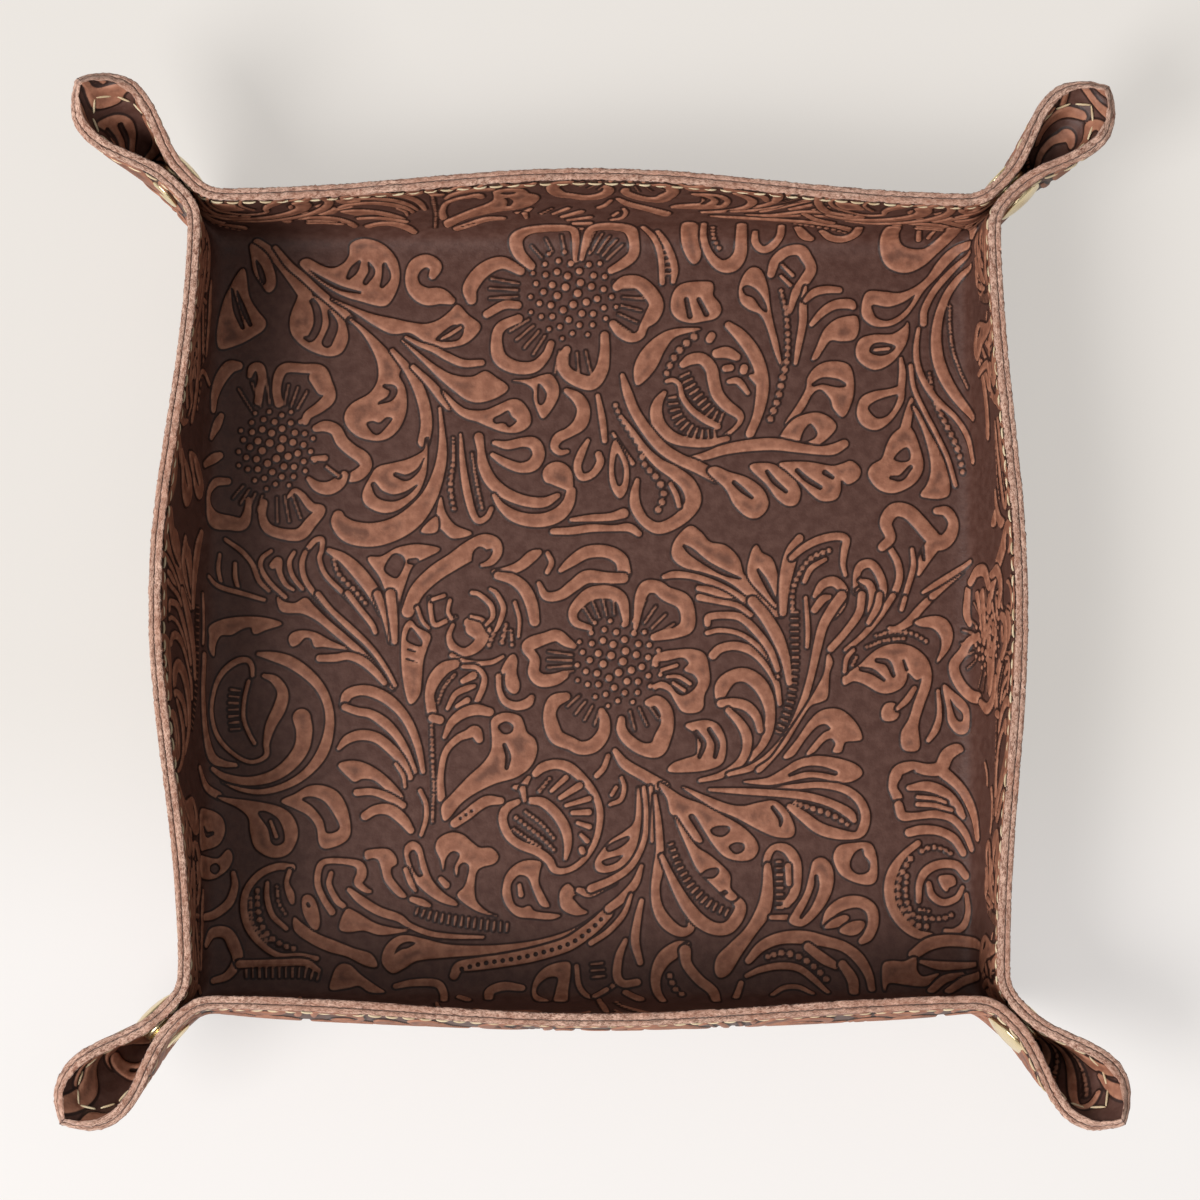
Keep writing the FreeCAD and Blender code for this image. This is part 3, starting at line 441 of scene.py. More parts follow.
leaf 43.3 104 .6 43.6 99.5 .9 45.5 97.3 .9 48 98.3 1 50 102 .9 50 108 .8
leaf 54.5 107 1 56.5 102.5 1.4 58.3 101 .8
leaf 61 105 .8 63.5 101.8 1.2 67 101.2 1.2 69.8 103.5 1.2 70.5 108 1
# Fan and scrolls south of the west flower
shape -82.2 3.6 -80.5 2.4 -77.5 2 -74.8 3.4 -72.5 1.2 -69 -2.2 -64 -6.5 -59 -11 -54.5 -16 -51.5 -20 -52.4
+ -20.2 -57 -15 -62.5 -10 -67 -6.3 -71.5 -2.6 -75.5 -.6 -79.5 -.4 -81.4 .4
leaf -71.5 4.5 .6 -68 .2 .6 -63.5 -4 .7 -58 -9.2 .6 -53.8 -14.8 .5 -51.2 -19.5 .4
leaf -63.8 4.8 .6 -60.5 .5 .6 -57.5 -3.3 .6 -56.5 -5.5 .5
leaf -56 4.5 .9 -54 -1 .8 -52.4 -8 .5
leaf -52.6 4.5 1.2 -51.8 -2 1 -51.4 -8 .6
shape -79 -7.5 -78.2 -5.9 -75.5 -5.2 -72 -5.8 -68.5 -7.7 -64 -9.8 -66 -9.8 -70 -9.3 -72.2 -9.3 -73.2 -7.2
+ -75 -7 -76.5 -8.6 -78.2 -9.2
leaf -71 -12.4 .8 -67 -12.3 .9 -63.5 -11.8 .9 -60 -13 1 -56.8 -15.6 .9 -54 -18.8 .6
leaf -64.6 -24.8 .9 -63.6 -22 1.2 -60.5 -20.8 1.2 -57 -21.2 1.3 -53 -23.2 1.3 -49.5 -26.5 1.1 -47 -30.5 1
+ -45 -36 .8 -43.8 -42 .5
leaf -64.3 -25.2 .8 -61 -26.3 .9 -57.5 -27 1 -54 -29.2 1.2 -51 -32.2 1 -48.3 -36.5 .8 -46 -42 .6
leaf -65.8 -36 .4 -63.5 -33.6 1 -60 -32.5 1.2 -56 -33.2 1.2 -52.5 -35.8 1.2 -49.5 -39.2 1 -47.2 -43.5 .7
leaf -51 -40 .3 -49 -43 .4 -48.5 -46 .3
shape -65.8 -40.5 -63.5 -39.4 -60 -39.6 -56 -41.5 -52 -44.8 -49 -48.5 -50 -49 -53.5 -46.5 -56.5 -44.2 -59.5
+ -43.8 -61.5 -44.6 -63 -43.6
leaf -61 -47.5 .8 -57 -47.3 .8 -53 -48.6 .9 -49 -50.8 .8
leaf -58.8 -53.6 1 -56 -52 1.1 -52.5 -52 1.3 -49.2 -54.3 1.3 -46.9 -57.3 .8
shape -80.5 -49.8 -77 -48 -73.5 -46 -70 -45.8 -66.5 -47.2 -64.3 -50 -63 -54 -62.8 -58.5 -65 -60.8 -69 -62
+ -70.6 -60.6 -71.3 -56.5 -73.5 -53.5 -77 -51.6
hollow -75.5 -49.3 -73 -48.4 -69.5 -49.6 -66.8 -53 -65.2 -56.5 -66.6 -58 -69 -58 -70 -54.7 -72.6 -51.4
# Pod in the fold of the west wall
leaf -87 -11.3 .4 -83 -12 1.1 -78.5 -13.5 1.4 -74 -16.6 1.3 -70.5 -20.5 1.1 -68.5 -25.5 1 -68.3 -31 1.1 -70
+ -37 1.3 -73.5 -41.8 1 -78.5 -45.3 .8 -85 -47.3 .6 -91 -46.8 .4 -96 -44.6 .3
leaf -75.5 -28 2.2 -74.8 -31.5 2 -75.5 -36 1.8 -78.5 -40.2 1.6 -83 -43.3 1.3 -89 -44.6 1 -95 -43.6 .8 -99
+ -41.5 .5
leaf -85.5 -17 .4 -82.5 -18.2 1 -80.5 -21.5 1.3 -81.3 -25.5 1.5 -83.5 -30 1.2 -84.6 -34.5 .7 -84.7 -38 .5
+ -88.5 -39.6 .4 -93 -37.6 .4 -97.5 -33 .5 -99.5 -27 .5 -98.7 -21 .5 -96.5 -16.5 .6 -93 -13.5 .7 -90 -12.9
+ .6 -88.6 -14.5 .5 -88.4 -17 .4
bars -92.8 -20 1.2 -93.3 -25 1.3 -92.8 -31 1.2
leaf -89.4 -18.5 .4 -90.4 -23 .4 -90.6 -28 .4 -89.2 -32 .4 -87.7 -34.7 .4
shape -100.5 -4.5 -97 -2.6 -92 -1.7 -86 -1.8 -81 -3.3 -85 -4.9 -88 -6 -89 -4.2 -91.5 -4.8 -94 -6.2 -97 -6.5
+ -98.5 -9 -99 -12 -100.5 -10 -100.5 -7
leaf -102.5 -12 .8 -103 -22 .9 -102 -31 1 -99.5 -38 1.2 -96 -40 .8 -92.5 -40.4 .4
leaf -105 -41.5 .7 -101.5 -46 .9 -97 -48.4 .9
# Loops and feather in the south-west corner
shape -97 -49 -92 -51.3 -89 -54 -88.4 -58 -87 -62 -83 -64.3 -79 -63.6 -76.8 -60.5 -76.4 -57 -78 -53.5 -81
+ -51.4 -86 -50.2 -92 -49.4
hollow -86.8 -53 -84.8 -52.2 -81.5 -54 -79.8 -57.2 -79.6 -60.3 -81.6 -61.5 -83.3 -60.5 -84.2 -57
leaf -83.3 -55 .3 -81.8 -59 .4
leaf -77.7 -67 .8 -81.5 -66.8 .8 -86 -68.8 .8 -89.3 -73 .8 -90 -78 .8 -88.5 -83 .8 -85 -87.2 .7 -80.5 -89.8
+ .6 -75.5 -89.8 .6 -71 -90.5 .5
leaf -78.3 -68 .5 -79 -71 .5 -78 -74 .9 -77.5 -76 .5
leaf -84 -71 .4 -84 -75 .6 -82.5 -79.5 .6 -79 -82.8 .5
beads -86.5 -73 .6 -86.3 -78 .7 -84.8 -83 .7 -81 -86.5 .7 -76 -88.3 .6
beads -88.2 -75 .4 -87.6 -81.5 .5 -84 -86 .5
beads -81.5 -72 .4 -81 -76 .45 -79 -79.5 .4
shape -77 -80 -76.6 -83.5 -72.5 -86.5 -68 -88.6 -63 -90 -58.5 -92.2 -55.5 -92.5 -57 -89.5 -61.5 -88 -66
+ -86.2 -71 -84.2 -75 -81.5
shape -74.8 -75 -73.2 -74.2 -71.5 -76 -70.4 -80.5 -71 -83 -72.8 -82 -74.6 -78.5
cut -73.5 -76.4 .6 -73.2 -77 .6
leaf -67.2 -78.5 .8 -69.5 -75 .7 -71 -71 .7 -70.4 -66.6 .7 -68 -65.3 .6 -62.5 -65.6 .7 -60 -66.6 1 -59.6
+ -68.8 1.2 -60.5 -71 .9 -58.5 -72.8 .6 -57.3 -73.2 .3
leaf -67.5 -68.5 .5 -68 -71.5 .6 -66 -75.5 .7 -64.2 -77 .6
leaf -62.8 -72.8 .5 -59.5 -75.6 1 -55 -78.3 1 -50 -80 .9 -47 -82 .6 -42 -84 .6 -36 -84.8 .5 -28 -85 .3
shape -65.2 -82.5 -63.5 -78 -61 -78.6 -56 -81.5 -51 -82.8 -47.5 -83.2 -51 -84 -55 -84.3 -59 -83.2 -63 -83.6
shape -58.7 -63 -57 -62.4 -53 -62.3 -51 -64 -50.6 -66 -52 -67 -51.8 -69.5 -49.5 -72.5 -48 -74.5 -50 -74.3
+ -53.3 -70.7 -54.3 -67.5 -55.2 -65 -56.8 -64.4 -58.4 -64.8
shape -105 -53 -100 -52.3 -96.3 -54 -95.3 -57.5 -97 -61 -101 -62.3 -105 -62
cut -102.5 -56.8 .6 -101 -58.6 .9 -98.8 -58.2 .7
shape -94.3 -62.5 -93.2 -64.5 -94.5 -67.5 -98 -69.8 -102 -70 -105 -69 -105 -64.5 -101 -64.5 -97 -64.8
hollow -99.5 -66.5 -97.5 -65.8 -96.2 -67.3 -97.6 -69 -99.6 -68.2
leaf -92.8 -68.5 .5 -92.4 -72 .8 -94 -76.3 1 -98 -79.2 1 -102 -80 .8
leaf -101 -87 .8 -98.5 -84 1.2 -94.5 -84 1.4 -92.3 -87.5 1.5 -91.5 -91 1.2 -94 -95 1 -98 -96.5 .8
leaf -91 -92 .9 -86 -91.8 .8 -80 -91.6 .8 -74 -91.6 .8 -70.5 -93.6 .5
bars -90 -94.5 1 -82 -94.2 1.2 -75 -94.2 1.2 -70 -95.4 .9
shape -67.3 -99 -66.6 -94.5 -65 -92.2 -62.5 -92.3 -59.5 -95 -55 -98.5 -53.5 -100 -57 -100 -60 -97.8 -63
+ -98.5
shape -54 -91.5 -53.4 -88 -51 -85.4 -48 -84.6 -43 -85.6 -37 -87 -28 -87.3 -20 -86.8 -13 -85.7 -6 -83.6 -1
+ -81 2.5 -78.5 3 -80 -1.5 -83 -7 -86 -14 -87.8 -22 -89 -30 -89.6 -38 -90.2 -45 -91 -48.5 -93 -51.5 -94.2
hollow -51.2 -89.6 -49.8 -87 -47.3 -86 -45.3 -86.6 -47.5 -88 -49 -88.3
# Leaves along the south side of the base
bars -46 -78 .8 -40 -79.8 1 -33 -81 1.1 -26 -82 1.1 -21 -82.5 .9
leaf -46.5 -75.2 .6 -44 -76 .8 -42 -76.8 .4
shape -48.4 -62 -46.6 -60.3 -44.4 -61.5 -43.2 -65.5 -41.5 -70 -38.5 -73.5 -35.3 -75.7 -35 -76.8 -39 -75.8
+ -43 -73.2 -46 -70 -48 -65.5
hollow -47.5 -63.5 -46.2 -62.2 -45 -63.5 -44.2 -67 -43.5 -69 -45 -69.5 -46.6 -67
leaf -44.5 -47 .5 -43 -50.5 .5 -43 -54.5 .5 -44.2 -58.5 .4
leaf -48.2 -67.5 .5 -46.8 -71 .6 -45.6 -73 .3
shape -40.3 -62 -39.5 -59.5 -36.5 -58 -33.5 -58.5 -31 -60.5 -29 -61.9 -26 -62 -24.2 -64 -25.2 -65.8 -28.5
+ -66.8 -30 -68.5 -30.4 -73 -29.7 -76 -27 -78.5 -24.5 -79.5 -29 -78.4 -33 -76 -34.6 -74 -32.8 -72 -31.8 -69
+ -31.6 -66.5 -33 -65.5 -34.5 -66.5 -34.8 -69 -35.3 -67 -34 -64 -34.8 -62.8 -36.5 -62.8 -38 -64.8 -38.4
+ -67.5 -39 -65
leaf -39 -70 .6 -37.6 -71.5 .8
shape -22.8 -72 -22 -69 -19.8 -66.5 -16.8 -65.2 -13.2 -65.6 -13.5 -68 -13.7 -71 -12 -74.7 -10.9 -77 -13
+ -76.6 -14.8 -73 -15.8 -70.2 -17 -69 -19 -68.9 -20.8 -71 -20.9 -73.5 -20 -76.5 -17.8 -77.5 -16 -77 -14.5
+ -78.4 -10 -79 -8 -79.4 -10.5 -80.3 -15 -80 -19 -79.5 -21.5 -77.3 -22.8 -74.5
leaf -18.6 -71.5 .4 -18.2 -74 .6
# Pod on the south side of the base
leaf -14.5 -42.5 .8 -12.5 -40.8 1.1 -9 -40 1.1 -5.5 -41 1.2 -2 -44 1 .8 -47.5 .8 2.3 -52 .8 2 -57 .7 .5
+ -61.5 .6 -2.5 -65.5 .6 -6 -67.6 .6 -9.3 -67.6 .8 -11 -65 1 -14 -62.8 1 -18.5 -61 1 -21.5 -58.5 1 -23 -54.5
+ 1 -22 -51.5 1 -19 -49.8 .6
leaf -15.8 -49.5 .8 -12.5 -50 1.1 -9 -53 1.2 -6.6 -57 1.2 -6 -61 .9 -6.6 -64.6 .4
leaf -10.3 -47 .4 -6.5 -43.5 .6
leaf -8 -48.8 .5 -3 -45.6 .8
leaf -6.5 -50.8 .4 -.5 -49 .6
leaf -4.8 -52.7 .5 -.5 -52.5 .7
leaf -3.5 -55.3 .4 -.4 -56.3 .6
leaf -2.6 -58.4 .4 -1 -60 .6
leaf -2.4 -62.2 .7 -2.2 -62.8 .7
beads -19.5 -54 .5 -15 -57.5 .5 -12 -60 .5 -9 -63 .4
beads -17 -52.5 .4 -13 -55.5 .45 -9.5 -59.5 .4
beads -20 -57 .4 -16 -59.8 .4 -12.5 -62 .4
beads -13.4 -47 .5 -10.6 -43.6 .4
shape -8 -76 -7.8 -73 -6 -71.3 -4.2 -72.8 -3.5 -73.5 -5 -74.6 -4 -76 -2.5 -77.6 -1 -78.6 -4 -79.2 -7 -78
leaf -3.2 -72.8 .6 -.5 -73.5 1 3 -72 .9 6 -70.5 .8
leaf -35.5 -95 1 -34.2 -92.7 1.2 -30 -92 1.5 -24 -91.2 1.5 -17 -90 1.6 -11 -88.5 1.6 -6 -86.8 1.6 -2 -84.3
+ 1.6 1.5 -81.5 1.5 4.5 -78.5 1.3
holes -33.5 -93.2 .75 -28 -91.8 .75 -20 -90.6 .75 -12 -88.8 .75 -5 -86.4 .75 0 -82.9 .75 4 -79 .7
shape -15.2 -100 -14.2 -95.5 -11 -92.5 -6 -91.5 -5.4 -94 -6 -99 -6.5 -104 -9.5 -104 -9 -99.5 -8.5 -95.5
+ -11.5 -95.5 -14 -98 -14 -101 -11 -104 -14 -104
leaf -26.5 -102.5 1 -26 -99.5 1.2 -22.5 -98 1.2 -18 -98.5 .9
leaf -34 -102 .8 -32 -103.5 1
leaf -50.5 -98 .7 -46 -97 .9 -40 -97.2 1 -38.2 -100 .9 -38 -104 .8
leaf -3.7 -92.5 .5 -3 -98 .6 -.2 -102 .7 2.5 -100.5 .6 6 -97.5 .5
bars 1.5 -91 1.5 2 -95.5 1.6
# Seed head west of the middle flower
shape -49.4 -6 -47.5 -2.5 -45.5 -4.3 -42.2 -6.3 -43 -9.5 -44 -13 -44.4 -18 -45 -22 -47.5 -24 -49.3 -16
hollow -48.6 -7.2 -47.3 -4 -45 -6.3 -44 -8 -44.6 -9.4 -47.5 -8.5
cut -47.8 -10 .5 -46 -10.6 .4
cut -48.2 -12.5 .5 -45.5 -13.4 .3
leaf -42.2 3.5 .5 -42 0 .5 -41 -3.5 .5 -38 -2.5 .5 -35.5 -1.5 .4
leaf -41.5 3.2 .4 -38.5 4.2 .4
leaf -45.5 1 .4 -44.2 -2.5 .4 -42.5 -4.4 .3
leaf -37 3 .4 -37.5 0 .4 -36.5 -2 .4
leaf -36.2 -3.5 .4 -37.2 -6.5 .6 -36 -9.5 1 -33 -10.7 1 -29.8 -9 1.3 -28.3 -6 1.5 -29.3 -3.5 1.6 -32 -3 1.2
join -31 -4.5 1.8 -30 -5.5 1.5
leaf -31.5 -1.2 .3 -28.3 -2.2 .4 -26.5 -5 .4
leaf -31.2 5 .5 -29.3 4.5 .5 -26.3 1.8 .6 -25.8 -1.3 .5 -27.5 -3.5 .3
leaf -26.5 6 .3 -24.8 4.8 .5 -23 1 .6 -24 -3 .5 -25 -5 .3
leaf -20 2.5 .4 -18.8 -2 .4 -19 -6.5 .3
leaf -36.5 -11.5 .5 -33.5 -13 .5 -30 -13.6 .5 -26 -13.3 .5 -23 -11.8 .3
beads -22.3 -3.5 .5 -23.4 -8.5 .6
beads -21 -5 .4 -20.6 -9.5 .5
beads -25.6 -6 .5 -27 -9.5 .6
leaf -25.5 10.5 .5 -22 10.8 1 -18.5 12.2 1.2 -15.5 14.7 1.3 -13.6 15.8 .6
leaf -11.4 15.5 .5 -10.4 13 .6 -11.5 10.5 .5
leaf -24.5 9.5 .9 -20.5 8.5 1.3 -17.5 6 1.5 -15.6 2 1.5 -14.8 -2.5 1.2
# Leaves south of the seed head
leaf -41.5 -27 1.2 -42.2 -22 1.1 -41 -18 1.5 -38.5 -15 1.5 -35.5 -13.8 1
leaf -33.5 -14.5 .4 -30 -14.8 .5 -28 -17 .6 -28.3 -20 .7 -29.8 -23.5 .6
leaf -33.5 -18.3 .6 -30.8 -16.8 .9
leaf -37.5 -25.5 .4 -35.5 -21.8 .6 -32.5 -20.2 .7 -30.5 -19.6 .4
leaf -35 -25 .5 -32.3 -23.3 .7
beads -40 -24 .35 -38.5 -20 .4 -35.6 -16.5 .35
leaf -41.5 -28 .9 -39.5 -28.5 1
leaf -38.3 -33 .4 -36.5 -29.3 .9 -33.5 -26.8 1.2 -30 -25.8 1.3 -26.5 -26.4 1
leaf -39 -49 .9 -39.2 -43 .7 -38 -37 .7 -35 -33.5 .8 -32.2 -32.2 1 -30.2 -31.5 1.4 -29.2 -33.5 .9
shape -26 -30 -25.8 -28.3 -24 -27 -21.5 -26.7 -18.6 -27.6 -17.6 -29.6 -16.8 -31.8 -14.8 -33.5 -14.2 -36.5
+ -15.8 -40.5 -19.5 -43.3 -25 -45 -30 -47.4 -34 -50.3 -37 -54 -38.4 -54.5 -38.8 -51 -36.5 -48.3 -32 -43.5
+ -28 -39.8 -26 -36.5 -25.8 -33
hollow -24.5 -30.2 -22.4 -28.7 -20.2 -29.8 -20.6 -31.8 -22.8 -32.3
cut -22.6 -35 .7 -21.6 -38 .9 -22 -41 .7
beads -41.6 -30 .4 -41.4 -38 .5 -41 -46 .4 -41.3 -56 .4
leaf -35.5 -55.5 1 -32 -53 1.2 -29.8 -51.2 1.2 -27 -49.6 1.2 -23.5 -49.6 .8
holes -34 -54.2 .6 -31 -52.2 .6
leaf -20 -46 .4 -18 -46 .8 -16.2 -43.5 .4
leaf -17.8 -46.5 .7 -17.3 -49.5 .4
shape -24 -17.5 -23 -14.5 -21.5 -12 -20.2 -11.3 -19.4 -12.8 -19.6 -16 -18.8 -19 -19.2 -21 -20.5 -21.4 -22
+ -20 -22.4 -17.5 -22.2 -16 -23.2 -16.4
leaf -24.2 -17 .6 -24 -20.5 .6 -22.5 -23.6 .8 -19.5 -24.8 1 -16.6 -24 1.1 -15.5 -22.5 .6
# West half of the middle flower
leaf -4.5 -9 .6 -6.5 -7.8 1.2 -9 -6.2 1.4 -12 -7 1.4 -15.5 -8.3 1.6 -16.8 -9.6 1.2 -14.8 -12.5 1.2 -15 -16
+ 1.4 -13 -18 1.6 -9.5 -17.8 1.4 -7 -16.6 1
leaf -6.5 -22.3 1 -9.5 -23.5 1.6 -10.8 -26.5 1.5 -10.3 -30 1.8 -8.8 -33 1.8 -5.3 -34.6 1.6 -2.5 -35.8 1.6 .8
+ -35 1.7 3.2 -32 1.5 3.6 -28.5 1.2 2.8 -26 .7
ribs 7 -13 12 18.5 172 192 4
ribs 7 -13 13.5 18 222 250 4
# East half of the middle flower
leaf -.3 -4.2 .6 -4 -2.8 .9 -4.7 0 1.1 -2.5 3 1.4 .5 5 1.6 5 5.2 1.6 8 3.5 1.4 8.9 0 1 9.2 -3 .6
leaf 11.7 -4 .5 12.3 0 .9 13 4 1.3 14.6 6.6 1.6 17.5 6.6 1.6 20 4.8 1.8 24 3 2 25.4 0 1.8 25.2 -3.6 1.8 22.5
+ -5.3 1.3 19 -6 1.2 16.5 -6.6 .8
shape 16.5 -12 19 -10.5 22.5 -10 26.5 -9.8 29.7 -11 30.8 -14.5 31 -18.5 29.6 -21.8 29.2 -25.2 27 -26.4 24
+ -26 22.2 -23.5 20.6 -20.9 18 -19.8 16.5 -20.2 16 -16
hollow 17 -13.2 20 -12.6 24 -11.8 25.8 -13.4 24.6 -15.2 27 -16.3 28.2 -18.3 27 -20.5 24.5 -22 22.5 -21.5
+ 20.5 -19.2 18.5 -18.4 16 -19 15 -16
leaf 18.5 -15.2 .35 22.5 -14 .4
leaf 20 -17 .3 23 -17 .4 26 -18.8 .4
leaf 21.5 -18.6 .3 24.5 -20.6 .4
leaf 15 -23.8 .8 17.5 -23.4 1.3 19.6 -25.8 1.5 20 -29.5 1.6 18.8 -33 2 17.2 -36 2 13.5 -36 1.5 10 -33.8 1.4
+ 8 -31 1.2 8 -28.2 .8
ribs 7 -13 12.5 18 94 122 4
ribs 7 -13 12.5 18 34 66 4
ribs 7 -13 13.5 18.5 284 316 4
seeds 7 -13 12
# Stem and leaves south of the middle flower
leaf 6.3 -36.5 .6 9 -40 1.2 14 -43 1.3 19 -46 1.5
shape 18 -45 24 -48.6 29 -50.5 34 -53.2 39 -56 42.5 -59.2 43.6 -62 42 -64.5 38.5 -65 34.8 -63.8 31.8 -60.5
+ 29.6 -57 27 -53 25.3 -53.5 27 -56.5 29 -60 27.2 -59.8 24.8 -57 22.5 -53.8 20.8 -52.5 20 -49
hollow 31 -57 33 -55.9 36 -56 36.4 -57.5 34.5 -59 32 -58.6
hollow 35.8 -61.5 37.6 -60.2 40 -60.6 40 -62.6 37.6 -63.5
shape 24.8 -29.8 27.5 -28.8 30.5 -28.5 33.3 -29.7 35 -33 35.2 -36.5 34.3 -39.5 31.5 -41 27 -41.8 20.5 -41.8
+ 21.5 -39.8 25 -38.5 27.6 -37.5 28 -34.8 27.5 -32
cut 27.6 -31.5 .8 29.5 -34.5 .9 28.4 -38 .7
cut 31 -30.8 .8 33 -34.5 .9 32.5 -38 .7
leaf 33.6 -23.5 .8 34.5 -19.5 1.8 37 -17 1.6 40.5 -16.5 1.7 43.8 -18.5 1.8 46 -22 1.6 47 -26.5 1.2 46.5 -31
+ 1.1 44.8 -35 .8 41.5 -38.5 .7
leaf 34 -24 .9 37.5 -23.8 1.1 41 -24.8 1.2 43.4 -27.5 1 44.3 -31 .7
leaf 36 -25.8 .7 39 -29 1 40.8 -32.5 1.2 40.6 -36.5 1 38.5 -40 .9 34 -42.8 .7 28.5 -44.2 .4
leaf 32 -11.3 1 34 -9.5 1 38 -8.8 1 42.5 -10.3 1 46 -13.8 .9 48.6 -18.5 .7 49.5 -24 .5
leaf 30.5 -5.4 .5 34 -4.7 .5 39 -5.6 .5 43.5 -8.6 .5 47.3 -13 .4 49.2 -17 .3
leaf 30.6 -3 .7 31 -1.2 .8 35.5 -.7 .8 39.5 -1.4 .9 43.5 -5 .9 47 -9.8 .8 49 -15 .6
leaf 28.5 4 .8 33 3 .6 38.5 1.8 .6 42 -.6 .5
leaf 42.5 3 1.2 45.8 -1 1.4 48.8 -6 1.5 51 -12 1.1 52 -18.5 .6
bars 53.6 1 .8 53.6 -6 .8 53.6 -14 .7 52.6 -22 .8 50.8 -28 .8 48.5 -33 .7
leaf 56.5 4 .4 57 -4 .5 56.8 -9 .4
leaf 66 4.5 1.2 63.5 1 1.2 61 -3.5 1.1 59.5 -9 1 57.8 -16.5 .8 55.5 -24 .8 52 -31.5 .8 47 -37.5 .8 42 -40.8
+ .7 36 -42.6 .4
leaf 71.3 4.8 .9 70.5 0 .9 67 -5 .8 63 -9.5 .8
shape 62.2 -11 63.4 -13 62.5 -16 62 -22 60.5 -23.3 57.5 -24.5 55 -28 51 -34.5 46.5 -39.8 44 -42 43.5 -41
+ 47.5 -38 52 -31.5 56 -25.5 59 -20.5 61.3 -16
leaf 79.5 4.5 .7 75.8 -1 .7 71.5 -6 .6 67 -9.8 .5
leaf 90 4.5 .8 86.5 1 .9 83.8 -2.2 1 80.5 -4 .6 78.5 -4 .4
leaf 98 11 .6 94 8 .7 90 4.5 .8
leaf 101 13.5 .5 96 10.8 .6 90.5 7.4 .6 87.5 5.5 .3
leaf 76 4.8 .7 75.3 1.5 .8 73 -2.5 .5
leaf 82.7 4 .5 81.8 1 .5
leaf 1.5 -43 .6 3.3 -41 .6 4.5 -37.8 .5
leaf 5 -50.5 .4 7.8 -49.2 .5 8.7 -46 .5 8 -43.5 .4
leaf 5.4 -48 .4 6.6 -46 .4
shape 12.2 -46 11.6 -54.5 9 -57.5 5.5 -59.8 3 -62.5 1.2 -65.5 1.8 -67.8 5 -68 8.5 -66.2 11.3 -62.5 12.7 -57
+ 13 -51
hollow 3.8 -61.5 6 -60 9.8 -58.5 10 -60 7.5 -62 4.5 -63
hollow 2.6 -65.3 5 -64.2 8.5 -63.6 7 -65.6 4 -66.6
leaf 13.8 -46 .4 14.5 -53 .6 13.8 -60 .6 10.7 -66.2 .7 6 -69.8 .8 0 -72.4 .9
leaf 15.6 -46 .4 16.2 -52 .5 16 -60 .4
leaf 13.2 -66.5 .4 11.5 -71 .9 8 -75 1 4.6 -77.6 .9
leaf 10.5 -74 .3 8.5 -79 .6 4.5 -83.5 .6 0 -86.5 .6
leaf 13.2 -75.5 .5 12.2 -80 .8 11.5 -86 1 12.8 -91.5 .7
leaf 9 -85.8 .5 7.3 -90 .9 6.8 -95 1 8.5 -97.2 1 12 -96.8 .9
leaf 16.8 -48 .3 17.6 -55 .7 18 -62 .9 17.6 -67 1.2 16.8 -72 1 17.3 -77 1.2 19.5 -81 1.5 23 -83.5 1.2 25.8
+ -83 .8 26.2 -80.5 1
leaf 18.5 -64 .5 20.5 -68.5 .8 23 -73.5 1.2 25.5 -77.5 1.5 28.5 -80.8 1.6 32 -82.7 1.5 35.5 -82.6 1.5 38 -80
+ 1.5 39 -77 1.3 37.3 -74.8 1
shape 22 -54 24.5 -57.6 27.5 -61.5 31 -63.8 34.5 -66.8 36.2 -69 36.3 -72.3 38 -74.5 36 -75.2 32 -71.5 28
+ -67.5 25.6 -62.6
hollow 28 -69.3 30 -67.3 33 -66.8 33.6 -68.2 32 -69.8 29.5 -69.8
hollow 33.6 -73.4 35 -72.5 36 -73.5 34.8 -74.2
bars 20.6 -60 .5 22.8 -66 .7 26 -71.5 .9 30.5 -76 1 35.5 -78.6 .8
leaf 45.8 -66 .9 46.3 -63.5 .8 48 -61.6 .7 51 -62 1.1 53.2 -64.8 1.3 53.8 -69 1.1 53 -73.5 1.1 51 -76.3 .9
shape 45.3 -66.5 44.8 -72 43.5 -77 40.5 -82.5 36.5 -86.5 33 -90 32.3 -93.5 33.5 -95.4 36 -94.2 39 -89.5 43
+ -83.8 46.2 -79.5 47.3 -75 47.2 -69 46.6 -66
bars 49 -64.5 .6 49.2 -71 .8 49.2 -77.5 .8
leaf 51.4 -66.5 .7 51.6 -71 .6
leaf 47 -79.8 .5 51.5 -79.8 .6
shape 51.8 -81 53 -78.2 55.8 -73.5 57.2 -68.5 58.2 -65.2 60.5 -64.4 62.7 -66.5 63.2 -70.5 61.8 -75 58.5
+ -79.5 55 -82
cut 58.8 -69.2 .7 58.8 -72 .9 57 -76.5 .9 54.8 -79.8 .6
leaf 41 -91 .8 44.5 -87.3 1.2 49.5 -85.2 1.4 55.5 -85 1.6 61 -86 1.3 66 -87.5 1.2 69.8 -90.5 1.3 72.3 -94.8
+ 1 73 -99 .8
leaf 40.5 -95 .5 44 -93.4 .7 49 -92.4 .8 54 -93 .8 58 -96 .7 61.5 -100 .5
leaf 56.5 -87.5 1 60.5 -90.5 1.2 64 -92.5 .8
leaf 65.5 -92 1 68 -96 1.3 68.3 -100 1.1
beads 46 -90 .6 50 -89 .8 55 -90.4 .8 59 -93.5 .8 62.5 -97.5 .8
leaf 47 -101 .5 50 -98.5 .6 54 -98.3 .6 57.5 -100.5 .5
leaf 18.5 -104 .8 17 -99 1 17 -94.5 1.3 19 -90.5 1.8 22.5 -88 1.8 25 -87 .8
leaf 24.5 -88.5 1.4 25 -92 1.2 28 -96 1.2 31.5 -99.5 1.3 32.3 -104 1
beads 20.5 -95 .7 22 -99 .8 25 -102 .8
leaf 1 -101.5 .7 4 -99 .6
leaf 9 -100 .8 12.5 -103 1.2
leaf 39 -97 .6 37.5 -102 .8
# Long leaves towards the east side
